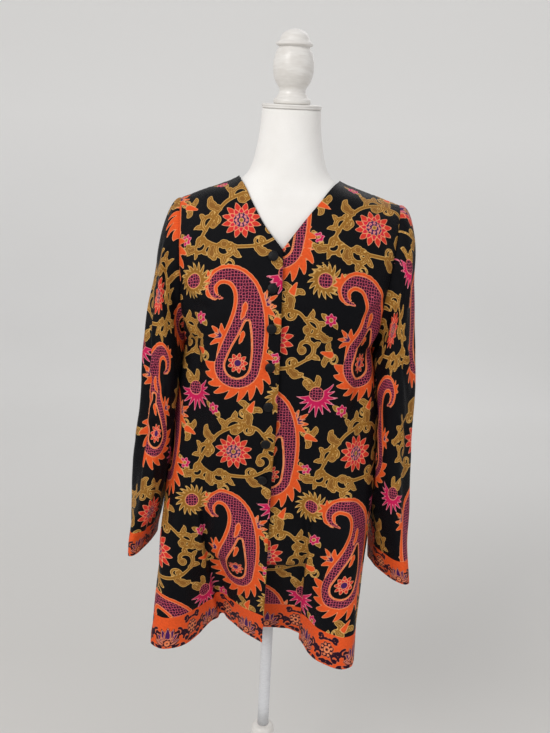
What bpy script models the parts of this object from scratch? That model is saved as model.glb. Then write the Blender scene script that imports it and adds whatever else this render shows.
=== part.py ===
"""A long-sleeved V-necked blouse buttoned on a limbless dress form, in metres, +Z up.

The origin is on the floor under the stand's pole, and the blouse faces -Y. Right and left are
the wearer's: right is -X. Each piece of cloth is a grid of points on its inner face, one row for
each step down the garment, thickened outwards. Neighbours share their seam's points, and each
draws back from the seam by half of the seam gap.
"""

import math
from collections import namedtuple

import bpy
import numpy as np
from mathutils import Vector
from mathutils.bvhtree import BVHTree

# Cloth
WALL = 0.0016
LEAST_WALL_COSINE = 0.6
SEAM_GAP = 0.0005
FORM_CLEARANCE = 0.0010
FORM_SOFTNESS = 0.0025
MIDDLE_CLEARANCE = 0.0010
FORM_ROUNDS = 6
UNDERLAP_CLEARANCE = 0.0040
UNDERLAP_SHARE = 0.25

# Heights above the floor
HEM_Z = 0.549
DRAPE_TOP_Z = 1.010
CHEST_ROW_Z = 1.110
UNDERARM_Z = 1.070
DRAPE_POWER = 1.5

# Both rims of a seam are cut along the same diagonals, picked by the points' order in this direction
RIM_ORDER = (1.0, 0.37, 0.11)

# Seam points are told apart on a grid of this size, which no value of the tables falls half-way on
SAME_PLACE = 0.0000137

# Grid of each piece of cloth
NECK_ROWS = 5
ARMHOLE_ROWS = 8
LOWER_ROWS = 17
FRONT_COLUMNS = 16
SHOULDER_COLUMNS = FRONT_COLUMNS // 2
BACK_NECK_COLUMNS = 12
CAP_ROWS = 5
ARM_ROWS = 12

# Plan of the chest: 2 is an ellipse, more is squarer
CHEST_SQUARENESS = 2.5
BACK_SQUARENESS = 2.4
BACK_DEPTH = 0.108
BACK_WAIST_DEPTH = 0.112
FRONT_FADE = 1.0
BACK_FADE = 2.5

Side = namedtuple(
    "Side", "sign neck_x neck_z shoulder_x shoulder_z underarm_x front_reach back_reach cap_leave"
)
RIGHT = Side(-1, 0.0765, 1.343, 0.1755, 1.310, 0.1600, 0.070, 0.072, 0.058)
LEFT = Side(1, 0.0835, 1.345, 0.1860, 1.313, 0.1540, 0.070, 0.072, 0.080)

NeckPoint = namedtuple("NeckPoint", "share x y z")
NECKLINE_RIGHT = (
    NeckPoint(0.00, -0.0765, 0.000, 1.343),
    NeckPoint(0.33, -0.0620, -0.043, 1.316),
    NeckPoint(0.70, -0.0380, -0.088, 1.278),
    NeckPoint(1.00, -0.0040, -0.120, 1.238),
)
NECKLINE_LEFT = (
    NeckPoint(0.00, 0.0835, 0.000, 1.345),
    NeckPoint(0.28, 0.0620, -0.046, 1.319),
    NeckPoint(0.55, 0.0300, -0.090, 1.284),
    NeckPoint(0.78, -0.0040, -0.1145, 1.240),
    NeckPoint(1.00, -0.0380, -0.1190, 1.196),
)
V_FADE = 0.05
BACK_NECK_DROP = 0.016
BACK_NECK_Y = 0.074
BACK_NECK_ROUNDNESS = 0.8

# Centre front: the right front's edge lies on the left front's
EdgePoint = namedtuple("EdgePoint", "z right_x right_y left_x left_y")
FRONT_EDGES = (
    EdgePoint(HEM_Z, -0.0090, -0.101, -0.040, -0.0560),
    EdgePoint(0.650, -0.0070, -0.106, -0.040, -0.0740),
    EdgePoint(0.750, -0.0060, -0.113, -0.040, -0.0940),
    EdgePoint(0.800, -0.0055, -0.118, -0.040, -0.1070),
    EdgePoint(0.870, -0.0050, -0.124, -0.039, -0.1150),
    EdgePoint(0.980, -0.0010, -0.133, -0.038, -0.1275),
    EdgePoint(1.100, -0.0010, -0.136, -0.038, -0.1305),
    EdgePoint(1.163, -0.0020, -0.133, -0.038, -0.1275),
    EdgePoint(1.196, -0.0025, -0.128, -0.038, -0.1190),
    EdgePoint(1.238, -0.0040, -0.120, -0.038, -0.1100),
)
SIDE_SEAMS = (
    EdgePoint(HEM_Z, -0.192, -0.015, 0.142, -0.010),
    EdgePoint(0.700, -0.190, 0.000, 0.158, 0.000),
    EdgePoint(0.820, -0.182, 0.000, 0.169, 0.000),
    EdgePoint(0.870, -0.178, 0.000, 0.171, 0.000),
    EdgePoint(0.930, -0.175, 0.000, 0.171, 0.000),
    EdgePoint(1.000, -0.171, 0.000, 0.168, 0.000),
    EdgePoint(UNDERARM_Z, -0.160, 0.000, 0.154, 0.000),
)

# The hem seen from above, from each piece's first edge to its last
HemPoint = namedtuple("HemPoint", "x y rise")
HEM_RIGHT = (
    HemPoint(-0.009, -0.101, 0.000),
    HemPoint(-0.040, -0.074, 0.000),
    HemPoint(-0.067, -0.046, 0.003),
    HemPoint(-0.085, -0.027, 0.006),
    HemPoint(-0.103, -0.044, 0.003),
    HemPoint(-0.124, -0.086, 0.000),
    HemPoint(-0.152, -0.122, 0.000),
    HemPoint(-0.180, -0.132, 0.000),
    HemPoint(-0.204, -0.115, 0.000),
    HemPoint(-0.207, -0.066, 0.000),
    HemPoint(-0.192, -0.015, 0.000),
)
HEM_LEFT = (
    HemPoint(-0.040, -0.056, 0.000),
    HemPoint(0.001, -0.053, 0.000),
    HemPoint(0.032, -0.053, 0.000),
    HemPoint(0.052, -0.066, 0.000),
    HemPoint(0.065, -0.104, 0.000),
    HemPoint(0.082, -0.136, -0.002),
    HemPoint(0.103, -0.151, -0.004),
    HemPoint(0.126, -0.158, -0.006),
    HemPoint(0.146, -0.146, -0.006),
    HemPoint(0.153, -0.100, 0.000),
    HemPoint(0.148, -0.052, 0.000),
    HemPoint(0.142, -0.010, 0.000),
)
HEM_BACK = (
    HemPoint(-0.192, -0.015, 0.000),
    HemPoint(-0.187, 0.035, 0.000),
    HemPoint(-0.166, 0.083, 0.000),
    HemPoint(-0.132, 0.104, 0.002),
    HemPoint(-0.094, 0.098, 0.003),
    HemPoint(-0.060, 0.116, 0.001),
    HemPoint(-0.022, 0.140, 0.000),
    HemPoint(0.020, 0.128, 0.002),
    HemPoint(0.056, 0.104, 0.004),
    HemPoint(0.090, 0.116, 0.001),
    HemPoint(0.124, 0.106, 0.000),
    HemPoint(0.146, 0.062, 0.000),
    HemPoint(0.142, -0.010, 0.000),
)

# Sections of the hanging sleeves. Skew carries the front outwards and the back inwards.
SleeveSection = namedtuple("SleeveSection", "z x half_width skew y half_depth")
SLEEVE_RIGHT = (
    SleeveSection(0.680, 0.2340, 0.0100, 0.0120, -0.033, 0.057),
    SleeveSection(0.715, 0.2320, 0.0130, 0.0120, -0.032, 0.058),
    SleeveSection(0.755, 0.2260, 0.0190, 0.0090, -0.031, 0.060),
    SleeveSection(0.805, 0.2190, 0.0250, 0.0040, -0.030, 0.063),
    SleeveSection(0.870, 0.2150, 0.0290, -0.0040, -0.028, 0.066),
    SleeveSection(0.950, 0.2100, 0.0280, -0.0120, -0.024, 0.068),
    SleeveSection(1.030, 0.2040, 0.0280, -0.0080, -0.020, 0.070),
    SleeveSection(1.120, 0.1925, 0.0320, 0.0000, -0.014, 0.071),
    SleeveSection(1.220, 0.1740, 0.0350, 0.0000, -0.008, 0.066),
)
SLEEVE_LEFT = (
    SleeveSection(0.668, 0.2130, 0.0190, 0.0230, -0.041, 0.054),
    SleeveSection(0.690, 0.2110, 0.0210, 0.0210, -0.040, 0.056),
    SleeveSection(0.740, 0.2070, 0.0235, 0.0140, -0.037, 0.060),
    SleeveSection(0.800, 0.2040, 0.0290, 0.0060, -0.032, 0.063),
    SleeveSection(0.870, 0.2035, 0.0290, -0.0020, -0.027, 0.066),
    SleeveSection(0.950, 0.2040, 0.0270, -0.0060, -0.022, 0.068),
    SleeveSection(1.030, 0.2020, 0.0265, -0.0030, -0.018, 0.070),
    SleeveSection(1.120, 0.1905, 0.0310, 0.0000, -0.014, 0.071),
    SleeveSection(1.220, 0.1800, 0.0360, 0.0000, -0.008, 0.066),
)
CUFF_Z_RIGHT = 0.699
CUFF_Z_LEFT = 0.672
CAP_END_MIDDLE_Z = 1.120
CAP_END_HALF_Z = 0.088

# Covered buttons down the right front
BUTTON_HEIGHTS = (1.226, 1.178, 1.116, 1.055, 0.991, 0.927, 0.863)
BUTTON_INSET = 0.017
BUTTON_GAP = 0.0003

# Dress form
FormRing = namedtuple("FormRing", "z half_width front back tilt")
FORM_RINGS = (
    FormRing(0.694, 0.108, 0.078, 0.082, 0.0),
    FormRing(0.700, 0.127, 0.092, 0.096, 0.0),
    FormRing(0.724, 0.140, 0.101, 0.104, 0.0),
    FormRing(0.780, 0.149, 0.108, 0.110, 0.0),
    FormRing(0.850, 0.147, 0.107, 0.108, 0.0),
    FormRing(0.920, 0.130, 0.098, 0.094, 0.0),
    FormRing(0.985, 0.118, 0.092, 0.083, 0.0),
    FormRing(1.050, 0.125, 0.102, 0.084, 0.0),
    FormRing(1.115, 0.138, 0.115, 0.089, 0.0),
    FormRing(1.165, 0.144, 0.116, 0.094, 0.0),
    FormRing(1.215, 0.149, 0.109, 0.096, 0.0),
    FormRing(1.255, 0.157, 0.099, 0.092, 0.0),
    FormRing(1.285, 0.164, 0.088, 0.083, 0.0),
    FormRing(1.302, 0.163, 0.079, 0.076, 0.0),
    FormRing(1.316, 0.148, 0.073, 0.071, 0.0),
    FormRing(1.328, 0.115, 0.067, 0.067, 0.5),
    FormRing(1.341, 0.084, 0.062, 0.064, 1.0),
    FormRing(1.362, 0.064, 0.058, 0.060, 2.5),
    FormRing(1.395, 0.0545, 0.053, 0.054, 5.0),
    FormRing(1.430, 0.0495, 0.049, 0.049, 7.0),
    FormRing(1.457, 0.0475, 0.047, 0.047, 8.0),
)
FORM_SQUARENESS = 2.3
NECK_ROUND_Z = 1.340
NECK_ROUND_LENGTH = 0.08
BUST_X = 0.074
BUST_Z = 1.122
BUST_RADIUS = 0.052
BUST_DEPTH = 0.014
BUST_SIDE_FADE = 0.5
FORM_SIDES = 32
SHOULDER_RINGS = (11, 17)
NECK_TILT = math.radians(8)
PIECE_GAP = 0.0003

# Turned pieces, as radius and height from each piece's own foot
BUTTON_PROFILE = (
    (0.0028, 0.0000),
    (0.0028, 0.0012),
    (0.0068, 0.0016),
    (0.0078, 0.0028),
    (0.0062, 0.0044),
    (0.0020, 0.0050),
)
CAP_PROFILE = ((0.0470, 0.0000), (0.0485, 0.0015), (0.0485, 0.0055), (0.0470, 0.0070))
FINIAL_PROFILE = (
    (0.0300, 0.0000),
    (0.0300, 0.0080),
    (0.0250, 0.0110),
    (0.0210, 0.0180),
    (0.0225, 0.0240),
    (0.0285, 0.0330),
    (0.0320, 0.0460),
    (0.0325, 0.0580),
    (0.0305, 0.0700),
    (0.0280, 0.0780),
    (0.0268, 0.0860),
    (0.0285, 0.0885),
    (0.0285, 0.0925),
    (0.0255, 0.0990),
    (0.0180, 0.1060),
    (0.0070, 0.1100),
)
COLUMN_PROFILE = (
    (0.0300, 0.0000),
    (0.0300, 0.0120),
    (0.0240, 0.0200),
    (0.0225, 0.0400),
    (0.0225, 0.2560),
    (0.0210, 0.2660),
    (0.0160, 0.2720),
    (0.0118, 0.2740),
)
BASE_PROFILE = (
    (0.1620, 0.0000),
    (0.1650, 0.0030),
    (0.1650, 0.0140),
    (0.1600, 0.0200),
    (0.1400, 0.0230),
    (0.0360, 0.0257),
)
POLE_RADIUS = 0.0110
TURNED_SIDES = 32
BUTTON_SIDES = 12
SHARP_ANGLE = math.radians(35)

# Colour and roughness
Finish = namedtuple("Finish", "colour roughness")
BLACK_PRINT = Finish((0.02, 0.02, 0.03), 0.45)
BLACK_COVER = Finish((0.02, 0.02, 0.025), 0.50)
WHITE_JERSEY = Finish((0.86, 0.85, 0.83), 0.85)
WHITE_PAINT = Finish((0.90, 0.90, 0.89), 0.35)


def smooth_slopes(steps, rises):
    """Slopes at each point that keep a curve through them smooth and free of overshoot."""
    secants = rises / steps[:, None]
    slopes = np.zeros((len(steps) + 1, rises.shape[1]))
    slopes[0] = secants[0]
    slopes[-1] = secants[-1]
    before, after = secants[:-1], secants[1:]
    same_way = before * after > 0
    total = before + after
    total[~same_way] = 1.0
    slopes[1:-1] = np.where(same_way, 2 * before * after / total, 0.0)
    return slopes


def smooth_curve(places, values, wanted):
    """Values, one row for each wanted place, on a smooth curve through the given rows."""
    places = np.asarray(places, float)
    values = np.asarray(values, float)
    wanted = np.atleast_1d(wanted)
    steps = np.diff(places)
    slopes = smooth_slopes(steps, np.diff(values, axis=0))
    index = np.clip(np.searchsorted(places, wanted, side="right") - 1, 0, len(steps) - 1)
    step = steps[index][:, None]
    part = np.clip((wanted - places[index])[:, None] / step, 0.0, 1.0)
    start = (1 + 2 * part) * (1 - part) ** 2
    leave = part * (1 - part) ** 2
    end = part**2 * (3 - 2 * part)
    arrive = part**2 * (part - 1)
    return (
        start * values[index]
        + leave * step * slopes[index]
        + end * values[index + 1]
        + arrive * step * slopes[index + 1]
    )


def smooth_step(part):
    part = np.clip(part, 0.0, 1.0)
    return part * part * (3 - 2 * part)


def spread_evenly(points, shares):
    """Points at the given shares of the length of a smooth curve through a short list of points."""
    points = np.asarray(points, float)
    lengths = np.linalg.norm(np.diff(points[:, :2], axis=0), axis=1)
    places = np.concatenate([[0.0], np.cumsum(lengths)])
    return smooth_curve(places, points, np.asarray(shares) * places[-1])


def form_points(row):
    """One ring of the dress form, from the front round by +X to the back and home."""
    columns = smooth_curve(range(len(FORM_RINGS)), FORM_RINGS, row)[0]
    z, half_width, front, back, tilt = columns
    squareness = 2 + (FORM_SQUARENESS - 2) * smooth_step((NECK_ROUND_Z - z) / NECK_ROUND_LENGTH)
    angle = np.linspace(0, 2 * math.pi, FORM_SIDES, endpoint=False)
    across, along = np.sin(angle), np.cos(angle)
    x = half_width * np.sign(across) * np.abs(across) ** (2 / squareness)
    depth = np.where(along > 0, front, back)
    y = -depth * np.sign(along) * np.abs(along) ** (2 / squareness)
    bust = np.exp(-(((np.abs(x) - BUST_X) / BUST_RADIUS) ** 2) - ((z - BUST_Z) / BUST_RADIUS) ** 2)
    y = y - BUST_DEPTH * bust * smooth_step(along / BUST_SIDE_FADE)
    height = z + y * math.tan(math.radians(tilt))
    return np.stack([x, y, height], axis=1)


def form_grid():
    """The form's rings, with one more between each two over the shoulders."""
    first, last = SHOULDER_RINGS
    rows = [float(row) for row in range(len(FORM_RINGS))]
    rows += [row + 0.5 for row in range(first, last)]
    return np.array([form_points(row) for row in sorted(rows)])


def form_sides(grid):
    """Triangles over the form's side, from the ring under the hips up to the neck's top."""
    faces = []
    for i in range(len(grid) - 1):
        for j in range(FORM_SIDES):
            after = (j + 1) % FORM_SIDES
            here, above = i * FORM_SIDES, (i + 1) * FORM_SIDES
            faces.append([here + j, here + after, above + after])
            faces.append([here + j, above + after, above + j])
    return faces


def form_tree():
    """The form's surface, to measure how far the cloth is from it."""
    grid = form_grid()
    return BVHTree.FromPolygons(grid.reshape(-1, 3).tolist(), form_sides(grid))


def clear_of_form(point, tree, clearance, softness):
    """How far, and which way, a point moves so that it is the clearance or more from the form."""
    nearest, normal, _, _ = tree.find_nearest(Vector(point))
    distance = (Vector(point) - nearest).dot(normal)
    if softness > 0:
        beyond = (distance - clearance) / softness
        move = clearance + softness * np.logaddexp(0.0, beyond) - distance
    else:
        move = max(clearance - distance, 0.0)
    return np.array(normal) * move


def lift_off_form(grid, tree, clearance):
    """Moves points that lie in the form, or nearly touch it, out to their clearance, softly.

    The middles of the grid's cells and of their sides are tested too, and take their corners along.
    """
    lifted = grid.copy()
    for place in np.ndindex(grid.shape[:2]):
        lifted[place] += clear_of_form(lifted[place], tree, clearance[place], FORM_SOFTNESS)
    spans = ((0, 1), (1, 0), (1, 1), (1, -1))
    rows, columns = grid.shape[:2]
    for _ in range(FORM_ROUNDS):
        moves = np.zeros_like(lifted)
        for i, j in np.ndindex(rows, columns):
            for down, along in spans:
                other = (i + down, j + along)
                if other[0] >= rows or not 0 <= other[1] < columns:
                    continue
                middle = (lifted[i, j] + lifted[other]) / 2
                move = clear_of_form(middle, tree, MIDDLE_CLEARANCE, 0.0)
                for place in ((i, j), other):
                    if np.linalg.norm(move) > np.linalg.norm(moves[place]):
                        moves[place] = move
        lifted += moves
    return lifted


def seam_owners(pieces, points):
    """For each place on the pieces' edges, the pieces that have a point there, with its row and column."""
    owners = {}
    for name, cloth in pieces.items():
        for places, _ in seam_edges(cloth):
            for place in places:
                key = tuple(np.round(points[name][place] / SAME_PLACE).astype(int))
                members = owners.setdefault(key, [])
                if (name, place) not in members:
                    members.append((name, place))
    return [members for members in owners.values() if len({name for name, _ in members}) > 1]


def match_seams(pieces):
    """Gives pieces that share a seam the same points there: whichever was lifted further."""
    before = {name: cloth.points.copy() for name, cloth in pieces.items()}
    drawn = {name: cloth.drawn for name, cloth in pieces.items()}
    for members in seam_owners(pieces, drawn):
        lifts = [np.linalg.norm(before[name][place] - drawn[name][place]) for name, place in members]
        furthest, furthest_place = members[int(np.argmax(lifts))]
        for name, place in members:
            pieces[name].points[place] = before[furthest][furthest_place]


def armhole(side, angle, reach):
    """Armhole points from the shoulder's end, angle 0, round to the underarm, angle pi."""
    middle = (side.shoulder_z + UNDERARM_Z) / 2
    half = (side.shoulder_z - UNDERARM_Z) / 2
    upper = (1 + np.cos(angle)) / 2
    x = side.sign * (side.underarm_x + (side.shoulder_x - side.underarm_x) * upper)
    return np.stack([x, reach * np.sin(angle), middle + half * np.cos(angle)], axis=-1)


def quarter_plan(share, squareness):
    """How far across, and how far back, a squared quarter ellipse has come at a share of its turn."""
    turn = share * math.pi / 2
    return np.sin(turn) ** (2 / squareness), 1 - np.cos(turn) ** (2 / squareness)


def patch(top, bottom, first, last, fade):
    """A patch between four edges: top and bottom run along rows, first and last run down.

    The bulge of the first and last edges fades inwards, by the power given.
    """
    down = np.linspace(0, 1, len(first))[:, None, None]
    along = np.linspace(0, 1, len(top))[None, :, None]
    ruled = (1 - down) * top[None] + down * bottom[None]
    first_bulge = first[:, None] - ((1 - down) * first[0] + down * first[-1])
    last_bulge = last[:, None] - ((1 - down) * last[0] + down * last[-1])
    return ruled + (1 - along) ** fade * first_bulge + along**fade * last_bulge


def edge_columns(table, heights, side):
    """x and y of an edge at the given heights."""
    columns = (1, 2) if side.sign < 0 else (3, 4)
    rows = np.asarray(table, float)
    return smooth_curve(rows[:, 0], rows[:, columns], heights)


def drape(height):
    """How much of the hem's form a height has taken: none above the waist, all at the hem."""
    fallen = np.clip((DRAPE_TOP_Z - height) / (DRAPE_TOP_Z - HEM_Z), 0.0, 1.0)
    return fallen**DRAPE_POWER


def front_row(side, inner, outer, share):
    """A level row of a front, from its centre edge round to the side seam."""
    across, back = quarter_plan(share, CHEST_SQUARENESS)
    x = inner[0] + (outer[0] - inner[0]) * across
    y = inner[1] + (outer[1] - inner[1]) * back
    z = inner[2] + (outer[2] - inner[2]) * share
    return np.stack([x, y, z], axis=1)


def front_grid(side, neckline, hem):
    """Inner-face points of one front, with a row for each step from shoulder to hem."""
    share = np.linspace(0, 1, FRONT_COLUMNS + 1)
    neck_rows = np.asarray(neckline, float)
    neck = smooth_curve(neck_rows[:, 0], neck_rows[:, 1:], np.linspace(0, 1, NECK_ROWS + 1))
    edge_z = np.linspace(neckline[-1].z, CHEST_ROW_Z, ARMHOLE_ROWS - NECK_ROWS + 1)[1:]
    edge = np.column_stack([edge_columns(FRONT_EDGES, edge_z, side), edge_z])
    first = np.vstack([neck, edge])
    last = armhole(side, np.linspace(0, math.pi, ARMHOLE_ROWS + 1), -side.front_reach)
    top = first[0] + (last[0] - first[0]) * share[:, None]
    chest = front_row(side, first[-1], last[-1], share)
    upper = patch(top, chest, first, last, FRONT_FADE)

    hem_points = spread_evenly(hem, share)
    fall = np.linspace(0, 1, LOWER_ROWS + 1)[1:]
    inner_z = CHEST_ROW_Z + (HEM_Z - CHEST_ROW_Z) * fall
    outer_z = UNDERARM_Z + (HEM_Z - UNDERARM_Z) * fall
    inner = np.column_stack([edge_columns(FRONT_EDGES, inner_z, side), inner_z])
    outer = np.column_stack([edge_columns(SIDE_SEAMS, outer_z, side), outer_z])
    hem_row = front_row(side, inner[-1], outer[-1], share)
    shift = hem_points - np.column_stack([hem_row[:, :2], np.zeros(len(share))])
    rows = []
    for start, end in zip(inner, outer):
        row = front_row(side, start, end, share)
        rows.append(row + shift * drape(row[:, 2])[:, None])
    return np.concatenate([upper, np.array(rows)])


def back_row(first, last, share, depth):
    """A level row of the back, from the right side seam round to the left one."""
    turn = share * math.pi
    across = (1 - np.sign(np.cos(turn)) * np.abs(np.cos(turn)) ** (2 / BACK_SQUARENESS)) / 2
    reach = np.sin(turn) ** (2 / BACK_SQUARENESS)
    x = first[0] + (last[0] - first[0]) * across
    y = first[1] + (last[1] - first[1]) * share + depth * reach
    z = first[2] + (last[2] - first[2]) * share
    return np.stack([x, y, z], axis=1)


def back_top():
    """The back's upper edge: right shoulder, back neck and left shoulder."""
    part = np.linspace(0, 1, SHOULDER_COLUMNS + 1)[:, None]
    ends = {}
    for side in (RIGHT, LEFT):
        neck = np.array([side.sign * side.neck_x, 0.0, side.neck_z])
        ends[side] = (armhole(side, 0.0, 0.0), neck)
    right_shoulder = ends[RIGHT][0] + (ends[RIGHT][1] - ends[RIGHT][0]) * part
    left_shoulder = ends[LEFT][1] + (ends[LEFT][0] - ends[LEFT][1]) * part
    turn = np.linspace(0, math.pi, BACK_NECK_COLUMNS + 1)[1:-1]
    along = ((1 - np.cos(turn)) / 2)[:, None]
    neck = ends[RIGHT][1] + (ends[LEFT][1] - ends[RIGHT][1]) * along
    neck[:, 1] += BACK_NECK_Y * np.sin(turn) ** BACK_NECK_ROUNDNESS
    neck[:, 2] -= BACK_NECK_DROP * np.sin(turn)
    return np.vstack([right_shoulder, neck, left_shoulder])


def back_grid():
    top = back_top()
    share = np.linspace(0, 1, len(top))
    angles = np.linspace(0, math.pi, ARMHOLE_ROWS + 1)
    first = armhole(RIGHT, angles, RIGHT.back_reach)
    last = armhole(LEFT, angles, LEFT.back_reach)
    upper = patch(top, back_row(first[-1], last[-1], share, BACK_DEPTH), first, last, BACK_FADE)

    hem_points = spread_evenly(HEM_BACK, share)
    heights = np.linspace(UNDERARM_Z, HEM_Z, LOWER_ROWS + 1)[1:]
    right = np.column_stack([edge_columns(SIDE_SEAMS, heights, RIGHT), heights])
    left = np.column_stack([edge_columns(SIDE_SEAMS, heights, LEFT), heights])
    hem_row = back_row(right[-1], left[-1], share, BACK_WAIST_DEPTH)
    shift = hem_points - np.column_stack([hem_row[:, :2], np.zeros(len(share))])
    rows = []
    for fall, start, end in zip(np.linspace(0, 1, LOWER_ROWS + 1)[1:], right, left):
        depth = BACK_DEPTH + (BACK_WAIST_DEPTH - BACK_DEPTH) * fall
        row = back_row(start, end, share, depth)
        rows.append(row + shift * drape(row[:, 2])[:, None])
    return np.concatenate([upper, np.array(rows)])


def sleeve_section(side, table, heights, angles):
    """Points of the hanging sleeve, one for each pair of a height and an angle round it."""
    rows = np.asarray(table, float)
    x, half_width, skew, y, half_depth = smooth_curve(rows[:, 0], rows[:, 1:], heights).T
    out = x + half_width * np.cos(angles) + skew * np.sin(angles)
    return np.stack([side.sign * out, y - half_depth * np.sin(angles), heights], axis=1)


def sleeve_grid(side, table, cuff_z):
    """Inner-face points of a sleeve: rings from the armhole, over the sleeve head, to the cuff."""
    angles = np.linspace(0, 2 * math.pi, 2 * ARMHOLE_ROWS, endpoint=False)
    reach = np.where(np.sin(angles) > 0, -side.front_reach, -side.back_reach)
    seam = armhole(side, angles, reach)
    join_z = CAP_END_MIDDLE_Z + CAP_END_HALF_Z * np.cos(angles)
    join = sleeve_section(side, table, join_z, angles)
    away = np.array([side.sign * side.cap_leave, 0.0, 0.0])
    rings = []
    for part in np.linspace(0, 1, CAP_ROWS + 1):
        straight = np.linalg.norm(join - seam, axis=1)[:, None]
        start = (1 + 2 * part) * (1 - part) ** 2
        leave = part * (1 - part) ** 2
        end = part**2 * (3 - 2 * part)
        arrive = part**2 * (part - 1)
        ring = start * seam + leave * away + end * join
        rings.append(ring + arrive * straight * np.array([0.0, 0.0, -1.0]))
    for part in np.linspace(0, 1, ARM_ROWS + 1)[1:]:
        heights = join_z + (cuff_z - join_z) * part
        rings.append(sleeve_section(side, table, heights, angles))
    return np.array(rings)


# A piece's points as they are and as first drawn, the side its wall is on, and whether its rows close
Cloth = namedtuple("Cloth", "points drawn facing ring")


def steps_along(points, axis, ring):
    """Differences across each point, along rows (axis 1) or down them (axis 0)."""
    if axis == 1 and ring:
        return np.roll(points, -1, axis=1) - np.roll(points, 1, axis=1)
    return np.gradient(points, axis=axis)


def unit(vectors):
    return vectors / np.maximum(np.linalg.norm(vectors, axis=-1, keepdims=True), 1e-12)


def cloth_normals(cloth):
    along = steps_along(cloth.points, 1, cloth.ring)
    down = steps_along(cloth.points, 0, cloth.ring)
    return unit(np.cross(along, down)) * cloth.facing


def seam_edges(cloth):
    """Each open edge of a grid, as the edge's places and those one step inside it."""
    rows, columns = cloth.points.shape[:2]
    edges = [([(0, j) for j in range(columns)], (1, 0)), ([(rows - 1, j) for j in range(columns)], (-1, 0))]
    if not cloth.ring:
        edges.append(([(i, 0) for i in range(rows)], (0, 1)))
        edges.append(([(i, columns - 1) for i in range(rows)], (0, -1)))
    return edges


def inward_ways(cloth, place, normal):
    """Directions from an edge point into its piece, square to the normal: one for each edge it is on."""
    ways = []
    for places, (down, along) in seam_edges(cloth):
        if place in places:
            inward = cloth.points[place[0] + down, place[1] + along] - cloth.points[place]
            ways.append(unit(inward - normal * (inward @ normal)))
    return ways


def straighten_shoulder(grid):
    """Puts every second point of a front's shoulder half-way, as the back has none there."""
    grid[0, 1:-1:2] = (grid[0, 0:-2:2] + grid[0, 2::2]) / 2


def sew(pieces):
    """Gives pieces that share a seam the same wall direction there, and draws them apart."""
    normals = {name: cloth_normals(cloth) for name, cloth in pieces.items()}
    walls = {name: normal * WALL for name, normal in normals.items()}
    points = {name: cloth.points.copy() for name, cloth in pieces.items()}
    for members in seam_owners(pieces, {name: cloth.points for name, cloth in pieces.items()}):
        common = unit(sum(normals[name][place] for name, place in members))
        ways = {(name, place): inward_ways(pieces[name], place, common) for name, place in members}
        for name, place in members:
            slant = max(float(common @ normals[name][place]), LEAST_WALL_COSINE)
            walls[name][place] = common * WALL / slant
            across = [way for other, found in ways.items() if other[0] != name for way in found]
            for way in ways[(name, place)]:
                opposite = min(across, key=way.dot)
                points[name][place] += unit(way - opposite) * SEAM_GAP / 2
    for name in ("front_right", "front_left"):
        straighten_shoulder(points[name])
        straighten_shoulder(walls[name])
    return points, walls


def grid_triangles(points, ring):
    """Triangles over a grid, each four-sided cell cut along its shorter diagonal."""
    rows, columns = points.shape[:2]
    triangles = []
    for i in range(rows - 1):
        for j in range(columns if ring else columns - 1):
            after = (j + 1) % columns
            a, b, c, d = (i, j), (i, after), (i + 1, after), (i + 1, j)
            if np.linalg.norm(points[a] - points[c]) <= np.linalg.norm(points[b] - points[d]):
                triangles += [(a, b, c), (a, c, d)]
            else:
                triangles += [(a, b, d), (b, c, d)]
    return [[i * columns + j for i, j in triangle] for triangle in triangles]


def grid_border(rows, columns, ring):
    """The open borders of a grid as loops of vertex numbers, in the grid's own winding."""
    top = list(range(columns))
    bottom = [(rows - 1) * columns + j for j in range(columns)]
    if ring:
        return [top, bottom[::-1]]
    right = [i * columns + columns - 1 for i in range(1, rows)]
    left = [i * columns for i in range(rows - 2, 0, -1)]
    return [top + right + bottom[-2::-1] + left]


def cloth_mesh(name, inner, walls, facing, ring):
    """One closed wall: the inner face, the outer face and the rim between them."""
    rows, columns = inner.shape[:2]
    count = rows * columns
    outer = inner + walls
    vertices = np.concatenate([outer.reshape(-1, 3), inner.reshape(-1, 3)])
    faces = grid_triangles(inner, ring)
    faces = faces + [[corner + count for corner in face[::-1]] for face in faces]
    order = inner.reshape(-1, 3) @ RIM_ORDER
    for loop in grid_border(rows, columns, ring):
        for here, after in zip(loop, loop[1:] + loop[:1]):
            if order[here] < order[after]:
                faces.append([after, here, here + count])
                faces.append([after, here + count, after + count])
            else:
                faces.append([after, here, after + count])
                faces.append([here, here + count, after + count])
    if facing < 0:
        faces = [face[::-1] for face in faces]
    mesh = bpy.data.meshes.new(name)
    mesh.from_pydata(vertices.tolist(), [], faces)
    mesh.update()
    return mesh


def material(name, finish):
    made = bpy.data.materials.new(name)
    made.use_nodes = True
    shader = made.node_tree.nodes["Principled BSDF"]
    shader.inputs["Base Color"].default_value = (*finish.colour, 1.0)
    shader.inputs["Roughness"].default_value = finish.roughness
    made.diffuse_color = (*finish.colour, 1.0)
    return made


def add_object(name, mesh, finish, parent):
    made = bpy.data.objects.new(name, mesh)
    mesh.materials.append(material(name, finish))
    bpy.context.collection.objects.link(made)
    made.parent = parent
    return made


def empty(name, location, rotation=(0.0, 0.0, 0.0), parent=None):
    made = bpy.data.objects.new(name, None)
    made.location = location
    made.rotation_euler = rotation
    made.parent = parent
    bpy.context.collection.objects.link(made)
    return made


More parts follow.
